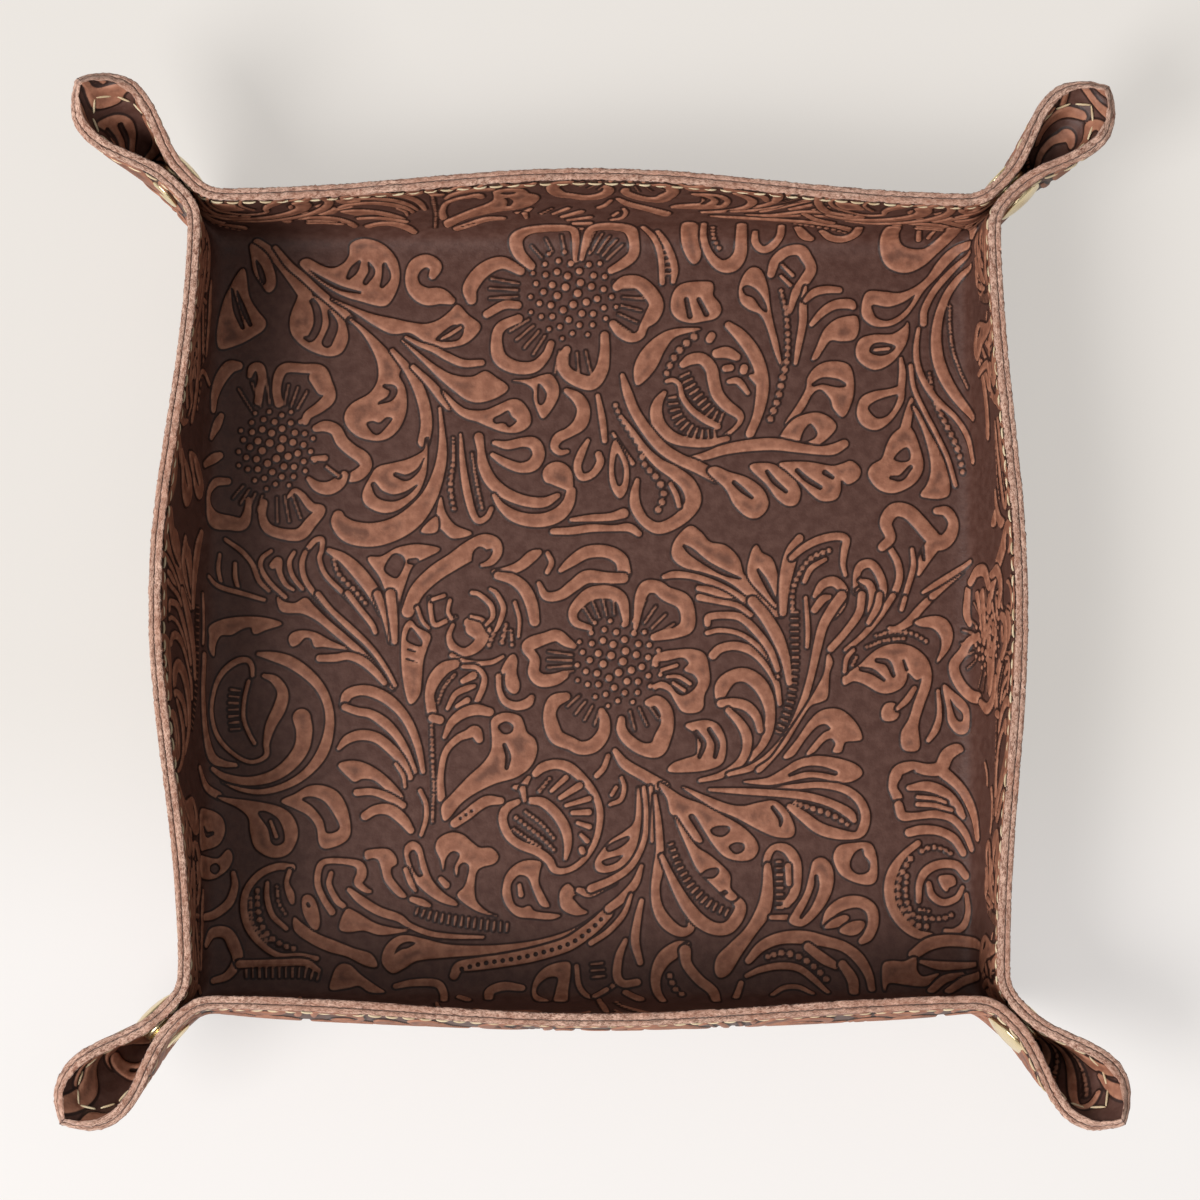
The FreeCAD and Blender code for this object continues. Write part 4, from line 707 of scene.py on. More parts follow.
shape 40 -44.5 46 -43.6 50 -41.5 54 -39 59 -37.8 65 -38.5 69.3 -40 71 -42 69.8 -43.5 67 -44.5 63 -44 58
+ -43.2 53 -44 47 -45.2
cut 52 -42.7 .6 56 -41.2 .9 60 -41.2 1 64 -42.2 .8
leaf 48 -46.3 .4 54 -45.7 .6 60 -45.3 .7 66 -46.3 .9 70 -49 1 71.8 -53 1.1 71 -57 1.1 69 -58.5 .8 64 -58 1.3
+ 59.5 -56.5 1.4 55.5 -53.5 1.2 52 -51 .7
leaf 31 -46.6 .3 40 -47 .7 50 -47.6 .8 57 -48.4 .9 63 -50.2 .9 67.5 -52.7 1.1 68.8 -54.5 .6
beads 53.5 -50 .5 59 -51.8 .7 63.5 -53.4 .7 67 -55.6 .5
shape 24 -46 30 -48.3 36 -50.5 40 -50.9 44 -50 48 -49.6 51 -52 53 -56 52.5 -58.7 48.5 -58.8 44 -57 38 -53.8
+ 32 -51.2
cut 47.5 -51.2 .7 49.5 -54 .8 49.5 -56 .5
shape 71 -13.5 73 -11.5 76 -9.3 80 -8.2 84.5 -9 88 -11.8 89.4 -15.5 89 -19.5 87.2 -24.5 85.8 -29.5 86 -35.5
+ 83 -36.3 81.5 -35 81.5 -31.5 83.5 -28 85 -23.5 86.5 -19.5 87 -17 85.5 -17.5 83.2 -15.5 82.8 -17.5 81.5
+ -19.6 78.5 -21 75.5 -20.8 72 -18.8 69 -17.9 66.5 -18.9 66.3 -16.8 68.5 -15.3
cut 71 -14.8 .8 74 -15.5 .9 77 -17.7 .6
cut 75.2 -12.5 .8 78 -13.2 1 79.5 -16.5 .7
cut 82.2 -12.5 .5 83 -15 .6
shape 76.3 -26 77.5 -24 79.8 -24 80.8 -26.5 79.5 -28.2 76.8 -28.2
leaf 80.5 -25.2 .4 83 -22.8 .7 85 -19.8 .5
shape 85.3 -2.4 88 -1.2 91.5 -.9 94 -2.3 95.2 -5.5 94.3 -9 92 -12 91 -12.8 92.3 -9 92 -6 90 -3.9 86.8 -3.4
beads 75 -6 .4 80 -4.9 .5 85 -5.6 .5 89 -8 .5
beads 72.5 -9 .4 77 -7.3 .45 83 -6.6 .45
leaf 66.6 -15.5 .4 67.2 -12 .5 69 -9.8 .4
beads 68.6 -13.8 .4 70 -11 .4
shape 50.5 -38 54 -33.5 57.5 -28.5 60.5 -25.9 64.5 -25.4 67.5 -27 70 -30 71 -33 69.5 -33.6 66.5 -34 65.5
+ -36.5 63.5 -36.5 64.2 -34.5 63 -33 61 -33.8 58.5 -36.5 56.5 -37.3 58.5 -34.5 61 -31.8 63 -30.7 61.5 -29.2
+ 59 -30 56 -33.3 53 -37.5
shape 92.6 -19 93.5 -25 94 -29 96.5 -31.8 99.5 -31 100 -26.5 98.8 -23.8 95.5 -21
hollow 94.2 -22.3 95.8 -24.3 98 -26.5 97.8 -28.6 96.2 -28.4 95 -26
leaf 91.2 -20.5 .4 91.5 -26.5 .6 90.5 -30.5 .8 88.5 -33.5 .5
# Flower in the fold of the east wall
leaf 100 6 .9 99.5 0 1.1 100.5 -3 .7
leaf 104.5 -6.5 .9 100.5 -7.6 1.2 98 -10.5 1.2 95.5 -14 1.3 97 -18.5 1.4 100.5 -21.8 1.5 104.5 -22.8 1.4
leaf 101 8 1 104 10.5 1.4 109 10 1.5 112 6 1.4
leaf 105.5 -24 .8 110 -26 1.4 115 -24 1.5 117 -19 1.3
leaf 114 8.5 1 119 9 1.5 122 5 1.5 120 0 1
leaf 122 -3 1 126 -5 1.5 127 -10 1.5 123 -13.5 1.2
ribs 111 -8 9.5 13.5 150 210 5
ribs 111 -8 9.5 14 80 130 4
ribs 111 -8 9.5 14 240 280 4
seeds 111 -8 9
# Rosette and curls in the south-east corner
leaf 80.2 -48.5 1.2 79 -45.5 1 80.5 -41.8 1.5 84 -40.4 1.2 88 -41.2 1.4 91.5 -40.8 1.6 93.5 -37.3 1.6 96
+ -35.8 1.3 97.3 -36 .6
join 92 -41.6 1.4 96.5 -45.5 1.2 99.5 -49.5 1.3 102 -54 1.4 103.5 -59 1.2
cut 82 -43 .8 84.5 -41.8 .7
leaf 83.3 -46 .6 88 -45.6 1.2 92.5 -47.2 1.2 96 -50.8 1.1 97.5 -53.5 .8
leaf 80.5 -50.5 1 81.5 -53.3 1.1 85 -53.4 .8 90 -52.9 .9 94.5 -54 .9 98 -57.5 .9 100.5 -62 .8
leaf 85.5 -50.3 .5 90 -50.6 .5 94.5 -51.8 .4
leaf 85.5 -48.4 .4 90 -48.8 .4 93 -49.8 .3
leaf 83.2 -57.7 1 86.5 -57 1.1 91 -57.3 1 95 -59.3 1 97.6 -63 .9
leaf 85.5 -60.5 .7 81.5 -63.8 .8 78.8 -68 1.2 77.8 -72.5 1.2 78.7 -77.3 1.2 81.3 -81.3 1.2 84.8 -84 1 88.5
+ -84.7 .8
leaf 98.5 -74 .6 99 -78 .8 97.8 -81.6 .9 95 -83.4 .7 92.5 -83.3 .5
leaf 85.5 -75.5 .6 85.8 -71 .8 87.5 -67.8 1 91 -66 1 95.5 -66.2 1 98.3 -69 1
leaf 88.2 -71 .6 89 -74 .8 91.8 -75.9 .8 95.5 -74.8 .7 97.3 -72 .5
shape 91 -69.2 94.5 -69 95.3 -71 93.5 -72 92.8 -73 91.5 -71.5
beads 83.5 -64.5 .7 80.8 -69 .7 80.2 -73.5 .7 81.5 -78 .7 84.5 -81.5 .7 88.5 -82.3 .7
beads 86.5 -62.5 .6 89 -61.5 .6 92 -62 .5 94.5 -63.4 .5
beads 82.5 -69 .6 82.2 -74 .6 84 -79 .6 88 -80 .6 92 -80 .6 95.5 -78.5 .6
beads 85.8 -77.8 .4 89 -78.2 .4
shape 63.5 -63.5 65 -61.2 69 -60.5 72.5 -60.5 74 -62.2 74.7 -66 74.4 -70 72.5 -71.2 69 -70.6 65.5 -68.8 63.8
+ -66
hollow 67.5 -65.5 68.8 -62.8 71 -61.7 71.6 -63.6 73 -65.5 72.6 -68 70 -68.8 68 -67.6
leaf 61 -81.8 .8 62.5 -78.5 1.2 66 -76.2 1.5 70 -75.8 1.4 73 -77.6 1.4 73.6 -81 1.3 72.3 -84.5 1.2 70.5 -86
+ .7
shape 61 -82.5 63 -80.5 66 -79.3 67.2 -80 65 -82
shape 64.8 -83.3 67.5 -81.2 70.5 -80.8 71.3 -81.8 69.8 -83.8 67.5 -84.4
leaf 84 -89.5 1.2 88 -86.8 1.5 93 -85.8 1.4 100 -86.3 1.3 105 -87.2 1
shape 76.2 -99.5 76 -92.5 78 -91.2 81.5 -91.3 84.5 -90.3 84.8 -93.5 86.5 -95.3 90.5 -94.5 88 -97.5 85.5 -98
+ 82 -97.5 77.5 -97
leaf 86 -91.3 .4 91 -92.3 1 97 -92.3 .8 102 -92 .5
leaf 88.5 -99.5 1 92 -96 1 97 -94.8 .7
leaf 93 -99.8 1 97.5 -96.5 1.1 104 -95 1
"""

# The stamp's repeat, how far raised parts swell, the moat that a leaf clears, and marks that stay low
REPEAT = 160.0
SWELL = 0.05
MOAT = 0.85
LOW_MARKS = {"ribs": -0.06, "bars": -0.03, "beads": -0.02}
MOST_DEPTH = 4.0
CURVE_STEP = 0.35
# Pitch of beads in half widths of their stroke, and of bars in millimetres
BEAD_PITCH = 2.9
BAR_PITCH = 1.7
BAR_HALF_WIDTH = 0.24
RIB_HALF_WIDTH = 0.24
SEED_COUNT = 50
SEED_ANGLE = 2.39996
SEED_SPREAD = 0.47
SEED_TAPER = 1.5
SEED_LARGE = 0.95
SEED_SMALL = 0.45
SEED_REACH = 20.0
WALL_MARKS_FROM = 102.0


def spline_spans(controls):
    """Points close together on a smooth curve through all controls but the first and the last."""
    spans = []
    for before, start, finish, after in zip(controls, controls[1:], controls[2:], controls[3:]):
        count = max(3, int(np.hypot(*(finish - start)[:2]) / CURVE_STEP))
        t = np.linspace(0, 1, count, endpoint=False)[:, None]
        square = 2 * before - 5 * start + 4 * finish - after
        cube = 3 * start - before - 3 * finish + after
        spans.append((2 * start + (finish - before) * t + square * t**2 + cube * t**3) / 2)
    return np.vstack(spans + [controls[-2:-1]])


def open_curve(points):
    """Smooth curve from the first point to the last."""
    return spline_spans(np.vstack([2 * points[0] - points[1], points, 2 * points[-1] - points[-2]]))


def closed_curve(points):
    """Smooth curve round through all points."""
    return spline_spans(np.vstack([points[-1:], points, points[:2]]))[:-1]


def grid_window(curve, reach):
    """Slices of the grid that hold a curve and its surroundings."""
    low = np.maximum(((curve.min(0)[:2] - reach + grid_half) / GRID_STEP).astype(int), 0)
    high = np.minimum(((curve.max(0)[:2] + reach + grid_half) / GRID_STEP).astype(int) + 2, grid_count)
    return slice(low[0], high[0]), slice(low[1], high[1])


def stroke_depth(curve, window):
    """How far inside a stroke the grid points of a window lie, negative outside."""
    depth = np.full(grid_u[window].shape, -FAR)
    for u, v, half_width in curve:
        depth = np.maximum(depth, half_width - np.hypot(grid_u[window] - u, grid_v[window] - v))
    return depth


def outline_depth(curve, window):
    """How far inside a closed outline the grid points of a window lie, negative outside."""
    u = grid_u[window]
    v = grid_v[window]
    near = np.full(u.shape, FAR)
    inside = np.zeros(u.shape, bool)
    for (u0, v0), (u1, v1) in zip(curve, np.roll(curve, -1, 0)):
        du, dv = u1 - u0, v1 - v0
        share = np.clip(((u - u0) * du + (v - v0) * dv) / max(du * du + dv * dv, TINY), 0, 1)
        near = np.minimum(near, np.hypot(u - u0 - share * du, v - v0 - share * dv))
        if dv != 0:
            inside ^= ((v0 > v) != (v1 > v)) & (u < du * (v - v0) / dv + u0)
    return np.where(inside, near, -near)


def dots(curve):
    """Round dots along a stroke, as large as the stroke is wide."""
    travel = np.concatenate([[0], np.cumsum(np.hypot(*np.diff(curve[:, :2], axis=0).T))])
    place = 0.0
    found = []
    while place <= travel[-1]:
        dot = [np.interp(place, travel, curve[:, k]) for k in range(3)]
        found.append(np.array([dot]))
        place += BEAD_PITCH * dot[2]
    return found


def cross_bars(curve):
    """Short bars across a stroke, as long as the stroke is wide."""
    travel = np.concatenate([[0], np.cumsum(np.hypot(*np.diff(curve[:, :2], axis=0).T))])
    heading = np.gradient(curve[:, :2], axis=0)
    heading /= np.linalg.norm(heading, axis=1, keepdims=True)
    found = []
    for place in np.arange(BAR_PITCH / 2, travel[-1], BAR_PITCH):
        u, v, half = [np.interp(place, travel, curve[:, k]) for k in range(3)]
        along_u, along_v = [np.interp(place, travel, heading[:, k]) for k in range(2)]
        steps = np.linspace(-half, half, max(3, int(2 * half / CURVE_STEP)))
        widths = np.full_like(steps, BAR_HALF_WIDTH)
        found.append(np.stack([u - along_v * steps, v + along_u * steps, widths], 1))
    return found


def radial_ribs(u, v, near, far, first, last, count):
    """Thin lines that run out from a flower's middle, between two angles in degrees."""
    steps = np.arange(near, far, CURVE_STEP)
    widths = np.full_like(steps, RIB_HALF_WIDTH)
    turns = np.radians(np.linspace(first, last, int(count)))
    return [np.stack([u + steps * math.cos(turn), v + steps * math.sin(turn), widths], 1) for turn in turns]


def seed_dots(u, v, radius):
    """Seeds in a flower's middle, larger towards its centre."""
    found = []
    for number in range(SEED_COUNT):
        share = ((number + 0.5) / SEED_COUNT) ** SEED_SPREAD
        turn = number * SEED_ANGLE
        size = SEED_LARGE + (SEED_SMALL - SEED_LARGE) * share**SEED_TAPER
        seed = [u + radius * share * math.cos(turn), v + radius * share * math.sin(turn), size]
        found.append(np.array([seed]))
    return found


def draw_mark(field, kind, numbers, shift):
    """Draw one mark into the field, moved by the given amount."""
    if kind in ("shape", "hollow"):
        curve = closed_curve(numbers.reshape(-1, 2) + shift)
        parts = [(curve, outline_depth)]
    else:
        if kind == "ribs":
            curves = radial_ribs(*numbers)
        elif kind == "seeds":
            curves = seed_dots(*numbers)
        else:
            curve = open_curve(numbers.reshape(-1, 3))
            split = {"beads": dots, "holes": dots, "bars": cross_bars}.get(kind)
            curves = split(curve) if split else [curve]
        parts = [(curve + [*shift, 0], stroke_depth) for curve in curves]
    for curve, measure in parts:
        window = grid_window(curve, MOST_DEPTH)
        if grid_u[window].size == 0:
            continue
        depth = measure(curve, window)
        if kind in ("leaf", "shape"):
            field[window] = np.minimum(field[window], -depth - MOAT)
        if kind in ("cut", "hollow", "holes"):
            field[window] = np.minimum(field[window], -depth)
        else:
            field[window] = np.maximum(field[window], np.minimum(depth, LOW_MARKS.get(kind, MOST_DEPTH)))


def mark_places(kind, numbers):
    """Sheet coordinates that a mark passes through."""
    if kind in ("ribs", "seeds"):
        return numbers[None, :2]
    return numbers.reshape(-1, 2 if kind in ("shape", "hollow") else 3)[:, :2]


def tooled_field(text):
    """Distance into the raised parts of the tooling over the whole grid, negative in the ground between them.

    A leaf or shape clears a narrow moat round itself first, so that leaves which overlap stay apart. The
    stamped pattern repeats: marks moved by the repeat fill the walls, where they don't reach into the base.
    """
    field = np.full(grid_u.shape, -MOST_DEPTH)
    marks = []
    for line in text.strip().replace("\n+", "").splitlines():
        kind, *numbers = line.split()
        if kind != "#":
            marks.append((kind, np.array(numbers, float)))
    for across in (-REPEAT, 0.0, REPEAT):
        for out in (-REPEAT, 0.0, REPEAT):
            shift = np.array([across, out])
            for kind, numbers in marks:
                places = mark_places(kind, numbers) + shift
                nearest = np.abs(places).max(1).min() - (SEED_REACH if len(places) == 1 else 0)
                if shift.any() and WALL_MARKS_FROM < nearest < grid_half:
                    draw_mark(field, kind, numbers, shift)
    for kind, numbers in marks:
        draw_mark(field, kind, numbers, np.zeros(2))
    return np.clip(field + SWELL, -MOST_DEPTH, MOST_DEPTH)


# Leather pieces
EDGE_WIDTH = 0.7
FOOT_DEPTH = 0.14
FOOT_PLACE = 0.45
FOOT_WIDTH = 0.3
SEAM_DENT = 0.22
SEAM_DENT_WIDTH = 0.6
# Section of one layer's raw edge: distance in from its face and height over the rim
RIM_SECTION = ((0.12, -0.02), (0.45, 0.12), (1.0, 0.2), (1.5, 0.16), (1.85, 0.02), (1.97, -0.25))
RIM_SHOULDER = 0.3
RIM_GROOVE = 0.6
RIM_FUZZ = 0.075
RIM_WAVE = 0.16
RIM_WAVE_SPAN = 7
RIM_SEED = 11
FACE, BACK, RIM = 0, 1, 2


def relief(field):
    """Depth of the tooled surface under the leather's face."""
    fall = np.clip(0.5 - field / EDGE_WIDTH, 0, 1)
    fall = fall * fall * (3 - 2 * fall)
    foot = np.exp(-(((field + FOOT_PLACE) / FOOT_WIDTH) ** 2))
    seam = grid_out - SEAM_OUT
    return RELIEF * fall + FOOT_DEPTH * foot + SEAM_DENT * np.exp(-((seam / SEAM_DENT_WIDTH) ** 2))


def region_faces(region, every):
    """Grid nodes of the faces in one region of the north quarter, as quads and triangles of node numbers."""
    line = grid_line[::every]
    middle = (line[:-1] + line[1:]) / 2
    across, out = np.meshgrid(middle, middle, indexing="ij")
    if region == "base":
        inside = (np.abs(across) < BASE_HALF) & (np.abs(out) < BASE_HALF)
        split = np.zeros(inside.shape, bool)
    else:
        split = np.abs(np.abs(across) - out) < GRID_STEP / 4
        inside = (out > BASE_HALF) & (out < SHEET_HALF) & ((np.abs(across) < out) | split)
        ear = (np.abs(across) > BASE_HALF) & (out > EAR_FOOT)
        if region == "wall":
            inside &= ~ear
        else:
            inside &= ear & ((across > 0) == (region == "east_ear"))
    nodes = (np.arange(grid_count)[::every, None] * grid_count + np.arange(grid_count)[None, ::every])
    corners = np.stack([nodes[:-1, :-1], nodes[1:, :-1], nodes[1:, 1:], nodes[:-1, 1:]], -1)
    east = split & inside & (across > 0)
    west = split & inside & (across < 0)
    triangles = np.vstack([corners[east][:, [0, 2, 3]], corners[west][:, [1, 2, 3]]])
    return corners[inside & ~split], triangles


def border_edges(quads, triangles):
    """Edges with a face on their left side only, as pairs of node numbers."""
    edges = [np.stack([face[:, k], np.roll(face, -1, 1)[:, k]], 1) for face in (quads, triangles)
             for k in range(face.shape[1])]
    edges = np.vstack(edges)
    forward = edges[:, 0] * grid_count**2 + edges[:, 1]
    backward = edges[:, 1] * grid_count**2 + edges[:, 0]
    return edges[~np.isin(forward, backward)]


def side_frames(turn, layer):
    """Node places of a layer's face, back and raw edge, with the given side turned to the north."""
    place, out = turned_sheet[turn]
    depth = from_side(relief(fields[layer]), turn)[..., None]
    rim = grid_index(SHEET_HALF)
    rise = place[:, rim] - place[:, rim - 1]
    rise /= np.linalg.norm(rise, axis=-1, keepdims=True)
    inwards = 1 if layer == "lining" else -1
    face_at = 0.0 if layer == "lining" else LEATHER
    depth = depth + pared(layer, grid_out)[..., None]
    sets = [place + out * (face_at + inwards * depth), place + out * LAYER]
    sets[FACE][:, rim] -= rise * RIM_SHOULDER
    sets[BACK][:, rim] -= rise * RIM_GROOVE
    strays = np.random.default_rng(RIM_SEED + turn)
    fuzz = strays.normal(0, RIM_FUZZ, (len(RIM_SECTION), grid_count, 2))
    span = np.ones(RIM_WAVE_SPAN) / RIM_WAVE_SPAN**0.5
    wave = np.convolve(strays.normal(0, RIM_WAVE, grid_count), span, "same")
    fuzz[..., 1] += wave * (np.abs(grid_line) < SHEET_HALF)
    for (inset, height), stray in zip(RIM_SECTION, fuzz):
        row = np.zeros_like(place)
        inset = PARED[layer] + inset * (LAYER - PARED[layer]) / LAYER
        across = face_at + inwards * inset + stray[:, :1]
        row[:, rim] = place[:, rim] + out[:, rim] * across + rise * (height + stray[:, 1:])
        sets.append(row)
    return sets


def closing_faces(quads, triangles, rim_nodes):
    """Faces between a layer's face and its back: the raw edge along the rim and plain ends elsewhere."""
    count = grid_count**2
    rows = [FACE] + list(range(RIM, RIM + len(RIM_SECTION)))
    edge_faces, end_faces = [], []
    borders = border_edges(quads, triangles)
    on_rim = np.isin(borders, rim_nodes).all(1)
    starts = set(borders[on_rim, 0]) - set(borders[on_rim, 1])
    finishes = set(borders[on_rim, 1]) - set(borders[on_rim, 0])
    for (first, last), rim_edge in zip(borders, on_rim):
        fine = first + (last - first) // BACK_EVERY * np.arange(BACK_EVERY + 1)
        if rim_edge:
            for low, high in zip(rows, rows[1:]):
                for start, finish in zip(fine, fine[1:]):
                    edge_faces.append([low * count + finish, low * count + start,
                                       high * count + start, high * count + finish])
            fine = fine + rows[-1] * count
        end_faces.append(list(fine[::-1]) + [BACK * count + first, BACK * count + last])
    for node in starts:
        end_faces.append([node, BACK * count + node] + [row * count + node for row in rows[:0:-1]])
    for node in finishes:
        end_faces.append([BACK * count + node, node] + [row * count + node for row in rows[1:]])
    return edge_faces, end_faces


def mesh_piece(name, points, groups, materials):
    """Mesh object from places in millimetres and groups of faces.

    A group is a list or an array of faces, each a row of corner numbers, with whether it is smooth and the
    number of its material.
    """
    loops, sizes, smooth, material_of = [], [], [], []
    for faces, is_smooth, material in groups:
        loops += [faces.ravel()] if isinstance(faces, np.ndarray) else [np.asarray(face) for face in faces]
        sizes += [len(face) for face in faces]
        smooth += [is_smooth] * len(faces)
        material_of += [material] * len(faces)
    loops = np.concatenate(loops).astype(np.int32)
    mesh = bpy.data.meshes.new(name)
    mesh.vertices.add(len(points))
    mesh.vertices.foreach_set("co", (np.asarray(points) * MM).astype(np.float32).ravel())
    mesh.loops.add(len(loops))
    mesh.loops.foreach_set("vertex_index", loops)
    mesh.polygons.add(len(sizes))
    mesh.polygons.foreach_set("loop_start", np.concatenate([[0], np.cumsum(sizes)[:-1]]).astype(np.int32))
    mesh.polygons.foreach_set("material_index", np.array(material_of, np.int32))
    mesh.polygons.foreach_set("use_smooth", np.array(smooth, bool))
    for material in materials:
        mesh.materials.append(material)
    mesh.update(calc_edges=True)
    piece = bpy.data.objects.new(name, mesh)
    bpy.context.scene.collection.objects.link(piece)
    return piece


def store(piece, name, kind, values):
    """Keep a value of each vertex for the materials."""
    attribute = piece.data.attributes.new(name, kind, "POINT")
    key = "value" if kind == "FLOAT" else "vector"
    attribute.data.foreach_set(key, np.asarray(values, np.float32).ravel())


def crease(piece, corners):
    """Make the edges between those corners sharp."""
    creased = np.zeros(len(piece.data.vertices), bool)
    creased[corners] = True
    ends = np.zeros(2 * len(piece.data.edges), np.int32)
    piece.data.edges.foreach_get("vertices", ends)
    sharp = creased[ends.reshape(-1, 2)].all(1)
    piece.data.attributes.new("sharp_edge", "BOOLEAN", "EDGE").data.foreach_set("value", sharp)


def leather_piece(name, region, turn, layer):
    """One closed piece of a leather layer."""
    count = grid_count**2
    quads, triangles = region_faces(region, 1)
    back_quads, back_triangles = region_faces(region, BACK_EVERY)
    rim_nodes = np.arange(grid_count) * grid_count + grid_index(SHEET_HALF)
    edge_faces, end_faces = closing_faces(back_quads, back_triangles, rim_nodes)
    groups = [
        (quads, True, 0),
        (triangles, True, 0),
        (edge_faces, True, 1),
        (back_quads[:, ::-1] + BACK * count, False, 1),
        (back_triangles[:, ::-1] + BACK * count, False, 1),
        (end_faces, False, 0),
    ]
    corners = [faces.ravel() if isinstance(faces, np.ndarray) else np.concatenate(faces)
               for faces, _, _ in groups if len(faces)]
    used = np.unique(np.concatenate(corners))
    order = 1 if layer == "lining" else -1
    numbered = []
    for faces, is_smooth, material in groups:
        if isinstance(faces, np.ndarray):
            numbered.append((np.searchsorted(used, faces[:, ::order]), is_smooth, material))
        else:
            numbered.append(([np.searchsorted(used, face[::order]) for face in faces], is_smooth, material))
    points = np.concatenate([places.reshape(-1, 3) for places in side_frames(turn, layer)])[used]
    piece = mesh_piece(name, points, numbered, [leather[layer], raw_edge])
    crease(piece, np.concatenate(numbered[-1][0]))
    node = used % count
    depth = from_side(fields[layer], turn).ravel()[node]
    store(piece, "tool", "FLOAT", np.where(used < count, depth, -MOST_DEPTH))
    rim_row = np.maximum(used // count - RIM + 1, 0) / len(RIM_SECTION)
    store(piece, "edge", "FLOAT", np.where(used // count == BACK, 1.0, rim_row))
    height = LEATHER * (layer == "cover") + used // count
    place = [from_side(grid_u, turn).ravel()[node], from_side(grid_v, turn).ravel()[node], height]
    store(piece, "sheet", "FLOAT_VECTOR", np.stack(place, -1))
    return piece


# Materials: display colours of the leather, its raw edge, the thread and the plating
RAISED = (168, 114, 90)
RAISED_DARK = (142, 92, 71)
SMUDGE = (92, 59, 48)
RUBBED = (192, 136, 109)
GROUND = (80, 51, 43)
GROUND_PALE = (98, 68, 59)
OUTLINE = (36, 20, 16)
EDGE_DARK = (120, 76, 60)
EDGE_PALE = (244, 204, 182)
EDGE_WARM = (186, 130, 106)
THREAD = (228, 208, 172)
THREAD_SOILED = (196, 168, 130)
GOLD = (238, 220, 178)
GOLD_STAINED = (210, 182, 128)


def linear(red, green, blue):
    """Colour for a shader from display values of 0 to 255, by the sRGB curve."""
    display = np.array([red, green, blue]) / 255
    value = np.where(display <= 0.04045, display / 12.92, ((display + 0.055) / 1.055) ** 2.4)
    return (*value, 1.0)


class Nodes:
    """Node tree of one material, with short calls that add a node and return its output."""

    def __init__(self, name):
        self.material = bpy.data.materials.new(name)
        self.material.use_nodes = True
        self.tree = self.material.node_tree
        self.shader = self.tree.nodes["Principled BSDF"]

    def feed(self, socket, value):
        if isinstance(value, bpy.types.NodeSocket):
            self.tree.links.new(value, socket)
        else:
            socket.default_value = value

    def add(self, kind, inputs, output=0, **settings):
        node = self.tree.nodes.new(kind)
        for key, value in settings.items():
            setattr(node, key, value)
        for key, value in inputs.items():
            self.feed(node.inputs[key], value)
        return node.outputs[output]

    def attribute(self, name, output="Fac"):
        return self.add("ShaderNodeAttribute", {}, output, attribute_name=name)

    def noise(self, vector, scale, detail=2.0, roughness=0.5):
        inputs = {"Vector": vector, "Scale": scale, "Detail": detail, "Roughness": roughness}
        return self.add("ShaderNodeTexNoise", inputs)

    def cells(self, vector, scale):
        return self.add("ShaderNodeTexVoronoi", {"Vector": vector, "Scale": scale}, feature="SMOOTH_F1")

    def ramp(self, value, low, high, to_low=0.0, to_high=1.0):
        inputs = {"Value": value, "From Min": low, "From Max": high, "To Min": to_low, "To Max": to_high}
        return self.add("ShaderNodeMapRange", inputs, interpolation_type="SMOOTHSTEP")

    def math(self, operation, first, second):
        return self.add("ShaderNodeMath", {0: first, 1: second}, operation=operation)

    def mix(self, share, first, second):
        """Mix of two colours; 6, 7 and 2 are the node's colour sockets."""
        return self.add("ShaderNodeMix", {0: share, 6: first, 7: second}, 2, data_type="RGBA")

    def scaled(self, vector, factors):
        return self.add("ShaderNodeVectorMath", {0: vector, 1: factors}, operation="MULTIPLY")

    def bump(self, height, strength, distance):
        return self.add("ShaderNodeBump", {"Height": height, "Strength": strength, "Distance": distance})

    def finish(self, **inputs):
        for key, value in inputs.items():
            self.feed(self.shader.inputs[key.replace("_", " ")], value)
        return self.material


# Leather: scale, detail and roughness of its noises
CLOUD = (0.16, 4.0)
MOTTLE = (0.35, 4.0, 0.6)
SPECK = (2.2, 3.0)
PORE_SCALE = 1.5
# Limits in a noise or in the tooling's depth between which the leather changes, some with the shares there
RAISED_MOTTLE = (0.35, 0.7)
SMUDGE_DEPTH = (0.7, 2.2)
SMUDGE_CLOUD = (0.42, 0.62, 0.0, 0.7)
RUBBED_DEPTH = (0.9, 0.15)
RUBBED_MOTTLE = (0.35, 0.65, 0.1, 0.55)
GROUND_MOTTLE = (0.3, 0.75)
OUTLINE_FOOT = (-0.75, -0.4)
OUTLINE_TOP = (0.06, -0.16)
OUTLINE_SHARE = 0.8
RAISED_DEPTH = (-0.14, 0.1)
SPECK_SHARE = (0.62, 0.72, 0.0, 0.22)
GLOSS_DEPTH = (-0.2, 0.3, 0.5, 0.58)
GLOSS_MOTTLE = (0.3, 0.7, -0.07, 0.07)
# Heights of pores and specks in the grain, and the grain's strength and depth in metres
PORE_HEIGHT = 0.6
SPECK_HEIGHT = 0.7
GRAIN_BUMP = (0.35, 0.00022)


